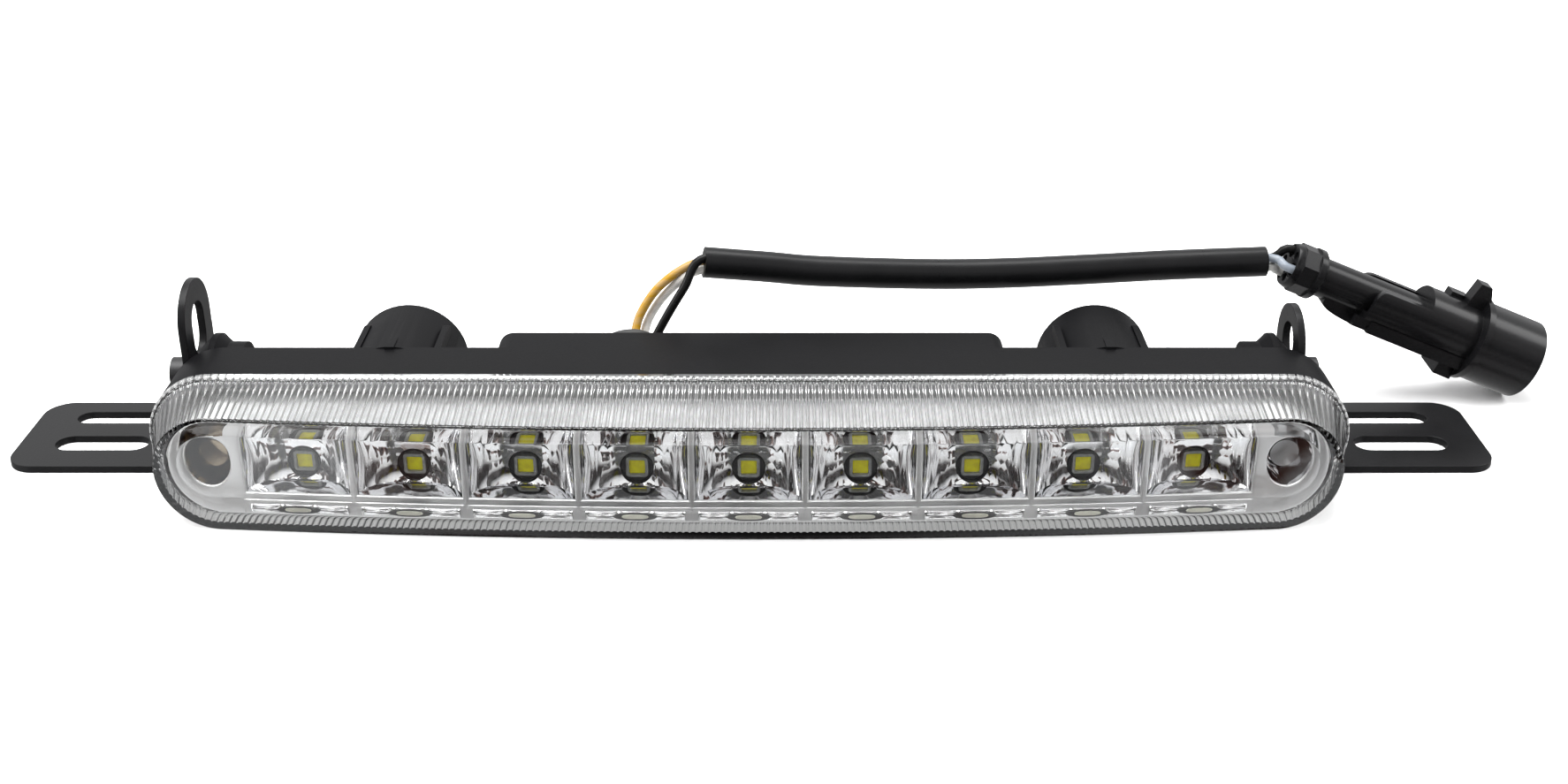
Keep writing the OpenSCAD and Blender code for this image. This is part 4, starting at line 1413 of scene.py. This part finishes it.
@dataclass
class Cable:
    """Three wires from the gland through a sleeve to the connector."""

    frame: Frame
    wire_d: float = 1.8
    sleeve_d: float = 6.2
    gland: Point = (-23.5, 44.2, 16.2)
    slope: float = 22.6
    connector_len: float = 56.2
    mouth: Point = (162.6, 64.4, 7.755)
    # Radius on which the retainer's holes lie, and the last points before and in a hole.
    hole_ring: float = 2.9
    approach: float = 1.4
    entry: float = 3.0
    route: Tuple[Point, ...] = (
        (-9.5, 52.2, 34.6),
        (3.0, 54.2, 32.8),
        (14.0, 55.8, 31.2),
        (36.0, 59.2, 29.2),
        (52.0, 61.2, 28.6),
        (69.0, 63.2, 28.6),
        (86.0, 64.8, 28.9),
        (106.2, 65.6, 29.4),
    )

    def rear(self) -> Vector:
        """The middle of the retainer's rear face."""
        a = math.radians(self.slope)
        return Vector(self.mouth) - self.connector_len * Vector((math.cos(a), 0.0, -math.sin(a)))

    def wire_path(self, wire: Wire) -> List[Vector]:
        """The whole centreline of a wire, in metres."""
        a = math.radians(self.slope)
        along = Vector((math.cos(a), 0.0, -math.sin(a)))
        first = Vector(self.gland) + Vector((wire.start[0], 0.0, wire.start[1]))
        hole = math.radians(wire.hole)
        py, pz = self.hole_ring * math.cos(hole), self.hole_ring * math.sin(hole)
        end = self.rear() + Vector((pz * math.sin(a), py, pz * math.cos(a)))
        last = len(self.route) - 1
        near, far = (Vector(off) for off in wire.offs)
        inner = []
        for i, p in enumerate(self.route):
            inner.append(Vector(p) + near.lerp(far, min(1.0, max(0.0, (i - 2) / (last - 4)))))
        points = [first, first + Vector((0, 1.6, 0.3)), *[Vector(m) for m in wire.mids], *inner]
        points += [end - self.approach * along, end + self.entry * along]
        line = even(spline(points, 6), 140)
        return [self.frame.metres(p) for p in line]

    def sleeve_path(self) -> List[Vector]:
        """The centreline of the sleeve, in metres."""
        return [self.frame.metres(p) for p in even(spline(self.route, 6), 60)]

    def build(self, dresser: Dresser, tubes: TubeTree, shells: Sequence[bpy.types.Object]) -> None:
        """Args:
            dresser: What puts finishes on pieces.
            tubes: What makes tubes along paths.
            shells: The connector's pieces that replace their nodes. Not used.
        """
        wires = (
            Wire(
                "wire_yellow_run",
                Palette.YELLOW,
                (0.1, 3.2),
                ((-22.4, 48.8, 24.4), (-17.8, 51.2, 30.4)),
                ((0.0, 0.9, -0.1), (0.0, -0.7, 1.1)),
                180.0,
                ("wire_yellow",),
            ),
            Wire(
                "wire_white_run",
                Palette.WHITE,
                (1.6, 1.0),
                ((-20.9, 50.0, 22.8), (-16.4, 51.9, 28.8)),
                ((0.0, -0.3, -1.4), (0.0, -1.1, -0.8)),
                300.0,
                ("wire_white", "tail_wire_white"),
            ),
            Wire(
                "wire_black_run",
                Palette.BLACK,
                (3.6, 3.0),
                ((-16.8, 47.2, 25.1), (-13.2, 49.0, 30.7)),
                ((0.0, -0.9, 1.2), (0.0, 1.2, 0.0)),
                60.0,
                ("wire_black", "tail_wire_grey"),
            ),
        )
        sleeve = tubes.sweep(
            "sleeve_run", self.sleeve_path(), self.sleeve_d * MM, 32, dresser.material(Palette.SLEEVE)
        )
        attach(sleeve, "root")
        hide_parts("cable_sleeve")
        for wire in wires:
            path = self.wire_path(wire)
            piece = tubes.sweep(wire.name, path, self.wire_d * MM, 16, dresser.material(wire.finish))
            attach(piece, "root")
            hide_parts(*wire.nodes)


# Stage


SKY_STOPS = (
    (0.0, (0.9, 0.9, 0.9)),
    (0.3, (0.45, 0.45, 0.45)),
    (0.5, (0.5, 0.5, 0.51)),
    (0.6, (1.15, 1.15, 1.16)),
    (0.85, (1.2, 1.2, 1.2)),
    (1.0, (1.0, 1.0, 1.0)),
)
ROOM_STOPS = (
    (0.0, (1.2, 1.2, 1.2)),
    (0.3, (1.2, 1.22, 1.25)),
    (0.4, (0.8, 0.8, 0.8)),
    (0.45, (0.03, 0.02, 0.02)),
    (0.54, (0.012, 0.01, 0.01)),
    (0.6, (0.9, 0.9, 0.92)),
    (0.68, (1.3, 1.3, 1.3)),
    (1.0, (1.2, 1.2, 1.2)),
)
CLUTTER_STOPS = (
    (0.0, (0.02, 0.016, 0.016)),
    (0.42, (0.025, 0.018, 0.018)),
    (0.44, (0.16, 0.07, 0.05)),
    (0.46, (0.95, 0.95, 0.95)),
    (1.0, (1.0, 1.0, 1.0)),
)


@dataclass
class Studio:
    """Camera, floor, soft lights and the room that the chrome mirrors."""

    camera_at: Point = (0.0065, -0.3229, 0.1737)
    tilt: float = 25.82
    lens_mm: float = 42.9
    sensor_mm: float = 36.0
    floor_half: float = 6.0
    # Direction, edge and tone of the dark patch on the camera's side, and where the room in front starts.
    viewer: Point = (0.0, -0.9, -0.42)
    viewer_edge: Flat = (0.34, 0.24)
    viewer_tone: Colour = (0.09, 0.09, 0.09)
    ahead: Flat = (0.1, -0.5)

    def camera(self) -> None:
        """Places the camera that the photograph was taken with."""
        data = bpy.data.cameras.new("studio_camera")
        data.lens = self.lens_mm
        data.sensor_width = self.sensor_mm
        data.sensor_fit = "HORIZONTAL"
        data.clip_start = 0.01
        obj = bpy.data.objects.new("studio_camera", data)
        obj.location = self.camera_at
        obj.rotation_euler = (math.radians(90.0 - self.tilt), 0.0, 0.0)
        bpy.context.scene.collection.objects.link(obj)
        bpy.context.scene.camera = obj

    def floor(self) -> None:
        """Lays a wide white floor."""
        bm = bmesh.new()
        bmesh.ops.create_grid(bm, x_segments=2, y_segments=2, size=self.floor_half)
        obj = make_object("studio_floor", bm, smooth=False)
        graph = Graph("floor_paper")
        tone = graph.noise((120.0, 120.0, 120.0), detail=2.0)
        paper = graph.finish(
            {
                "Base Color": graph.blend(tone, (0.93, 0.93, 0.93), (0.95, 0.95, 0.95)),
                "Roughness": 0.7,
                "Specular IOR Level": 0.2,
            }
        )
        obj.data.materials.append(paper)
        obj.visible_glossy = False
        obj.visible_transmission = False

    def light(self, name: str, at: Point, aim: Point, size: Flat, power: float) -> None:
        """Adds a rectangular soft light.

        Args:
            name: Its name.
            at: Its place in metres.
            aim: The point it faces.
            size: Its width and height.
            power: Watts.
        """
        data = bpy.data.lights.new(name, "AREA")
        data.shape = "RECTANGLE"
        data.size, data.size_y = size
        data.energy = power
        obj = bpy.data.objects.new(name, data)
        obj.location = at
        obj.rotation_euler = (Vector(aim) - Vector(at)).to_track_quat("-Z", "Y").to_euler()
        bpy.context.scene.collection.objects.link(obj)

    def lights(self) -> None:
        """Sets the world and the soft lights."""
        world = bpy.data.worlds.new("studio_world")
        world.use_nodes = True
        nodes, link = world.node_tree.nodes, world.node_tree.links.new
        back = nodes["Background"]
        place = nodes.new("ShaderNodeTexCoord")
        split = nodes.new("ShaderNodeSeparateXYZ")
        link(place.outputs["Generated"], split.inputs[0])

        def ramp(source: bpy.types.NodeSocket, stops: Sequence[Tuple[float, Colour]]) -> bpy.types.NodeSocket:
            """A colour ramp over a socket."""
            node = nodes.new("ShaderNodeValToRGB")
            fill_ramp(node, stops)
            link(source, node.inputs[0])
            return node.outputs[0]

        def span(source: bpy.types.NodeSocket, low: float, high: float) -> bpy.types.NodeSocket:
            """Where a value lies between two others, from 0 to 1."""
            node = nodes.new("ShaderNodeMapRange")
            node.inputs["From Min"].default_value = low
            node.inputs["From Max"].default_value = high
            link(source, node.inputs["Value"])
            return node.outputs[0]

        def mix(
            factor: bpy.types.NodeSocket, a: bpy.types.NodeSocket, b: bpy.types.NodeSocket, blend: str = "MIX"
        ) -> bpy.types.NodeSocket:
            """A mix of two colours."""
            node = nodes.new("ShaderNodeMix")
            node.data_type = "RGBA"
            node.blend_type = blend
            link(factor, node.inputs[0])
            link(a, node.inputs[6])
            link(b, node.inputs[7])
            return node.outputs[2]

        height = span(split.outputs["Z"], -1.0, 1.0)
        clutter = nodes.new("ShaderNodeTexNoise")
        clutter.inputs["Scale"].default_value = 3.2
        clutter.inputs["Detail"].default_value = 1.5
        link(place.outputs["Generated"], clutter.inputs["Vector"])
        patches = ramp(clutter.outputs[0], CLUTTER_STOPS)
        ahead = span(split.outputs["Y"], *self.ahead)
        viewer = nodes.new("ShaderNodeVectorMath")
        viewer.operation = "DISTANCE"
        viewer.inputs[1].default_value = self.viewer
        link(place.outputs["Generated"], viewer.inputs[0])
        near = span(viewer.outputs["Value"], *self.viewer_edge)
        room = mix(ahead, ramp(height, ROOM_STOPS), patches, "MULTIPLY")
        shade = nodes.new("ShaderNodeRGB")
        shade.outputs[0].default_value = rgba(self.viewer_tone)
        room = mix(near, room, shade.outputs[0])
        link(mix(ahead, ramp(height, SKY_STOPS), room), back.inputs["Color"])
        back.inputs["Strength"].default_value = 1.0
        bpy.context.scene.world = world
        self.light("top_box", (-0.15, 0.1, 1.1), (0, 0, 0), (1.3, 0.7), 26.0)
        self.light("left_box", (-1.1, -0.1, 0.7), (0, 0, 0), (0.5, 0.8), 9.0)
        self.light("right_box", (1.1, 0.0, 0.7), (0, 0, 0), (0.5, 0.8), 8.0)

    def build(self) -> None:
        """Sets the whole stage."""
        self.camera()
        self.floor()
        self.lights()
        view = bpy.context.scene.view_settings
        view.view_transform = "Standard"


# Assembly


NODE_FINISHES: Dict[str, Palette] = {
    "lens_seal": Palette.SEAL,
    "led_board": Palette.BOARD,
    "driver_board": Palette.GREEN,
    "driver_coil": Palette.FERRITE,
    "driver_capacitor": Palette.CAN,
    "driver_chip": Palette.EPOXY,
    "reflector_screw_left": Palette.SMOKED,
    "reflector_screw_right": Palette.ZINC,
    "cable_gland": Palette.RUBBER,
    "bolt_left": Palette.SCREW,
    "bolt_right": Palette.SCREW,
    "bolt_insert_left": Palette.BRASS,
    "bolt_insert_right": Palette.BRASS,
    "connector_seal": Palette.ORANGE,
    "connector_pin_1": Palette.TIN,
    "connector_pin_2": Palette.TIN,
    "connector_pin_3": Palette.TIN,
}

SOFTENED: Dict[str, Tuple[Palette, float]] = {
    "housing": (Palette.HOUSING, 0.35),
    "bracket_left": (Palette.SHEET, 0.25),
    "bracket_right": (Palette.SHEET, 0.25),
    "connector_body": (Palette.CONNECTOR, 0.25),
    "connector_retainer": (Palette.CONNECTOR, 0.15),
}


@dataclass
class BossFins:
    """Two upright fins that run back along each round rear boss.

    Attributes:
        frame: The lamp's frame.
        back_y: Y of the housing's back wall.
        boss_x, boss_z, boss_r: Middle of the fins on the right boss, height of its axis and its radius.
        off: From that middle to a fin.
        thick, long, tall: A fin's thickness, length and height over the boss.
        peak: Where its top ends, as a share of its length.
        sunk, rooted: How deep it is let into the boss and into the back wall.
    """

    frame: Frame
    back_y: float
    boss_x: float = 68.6
    boss_z: float = 14.0
    boss_r: float = 11.35
    off: float = 7.2
    thick: float = 1.2
    long: float = 15.5
    tall: float = 0.8
    peak: float = 0.88
    sunk: float = 0.6
    rooted: float = 0.2

    def build(self, dresser: Dresser) -> None:
        """Makes the fins."""
        bm = bmesh.new()
        foot = self.boss_z + math.sqrt(self.boss_r**2 - (self.off + self.thick) ** 2) - self.sunk
        top = self.boss_z + math.sqrt(self.boss_r**2 - self.off**2) + self.tall
        outline = (
            (self.back_y - self.rooted, foot),
            (self.back_y + self.long, foot),
            (self.back_y + self.long, top - self.tall),
            (self.back_y + self.peak * self.long, top),
            (self.back_y - self.rooted, top),
        )
        for boss in (-1, 1):
            for side in (-1, 1):
                near = boss * self.boss_x + side * self.off
                rings = []
                for x in (near, near + side * self.thick):
                    rings.append([self.frame.metres((x, y, z)) for y, z in outline])
                loops = polar_loft(bm, rings, True)
                bm.faces.new(loops[0])
        bmesh.ops.recalc_face_normals(bm, faces=bm.faces)
        fins = make_object("boss_fins", bm, smooth=False)
        dresser.dress(fins, Palette.HOUSING)
        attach(fins, "root")


def dress_nodes(dresser: Dresser) -> None:
    """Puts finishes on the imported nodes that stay."""
    for node, finish in NODE_FINISHES.items():
        dresser.dress(bpy.data.objects[node], finish)
    LOG.info("dressed %d nodes", len(NODE_FINISHES))


def soften_nodes(dresser: Dresser) -> Dict[str, bpy.types.Object]:
    """Replaces the main moulded and bent nodes by copies with rounded edges."""
    made = {}
    for node, (finish, width) in SOFTENED.items():
        piece = EdgeSoftener(width).copy(node, f"{node}_rounded")
        dresser.dress(piece, finish)
        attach(piece, "root")
        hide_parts(node)
        made[node] = piece
        LOG.info("%s has %d faces", piece.name, len(piece.data.polygons))
    return made


def main() -> None:
    """Builds the whole scene."""
    logging.basicConfig(level=logging.INFO, format="%(message)s")
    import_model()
    dresser = Dresser()
    Studio().build()
    rounded = soften_nodes(dresser)
    BossFins(FRAME, 32.2).build(dresser)
    shells = [rounded[node] for node in ("connector_body", "connector_retainer")]
    Cable(FRAME).build(dresser, TubeTree(), shells)
    lens = Lens(FRAME).build()
    dresser.dress(lens, Palette.CLEAR)
    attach(lens, "root")
    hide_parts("lens")
    LOG.info("%s has %d faces", lens.name, len(lens.data.polygons))
    tree = BowTree()
    row = LedRow(FRAME)
    row.build(dresser, tree)
    Reflector(FRAME, row).build(dresser, tree)
    dress_nodes(dresser)


if __name__ == "__main__":
    main()
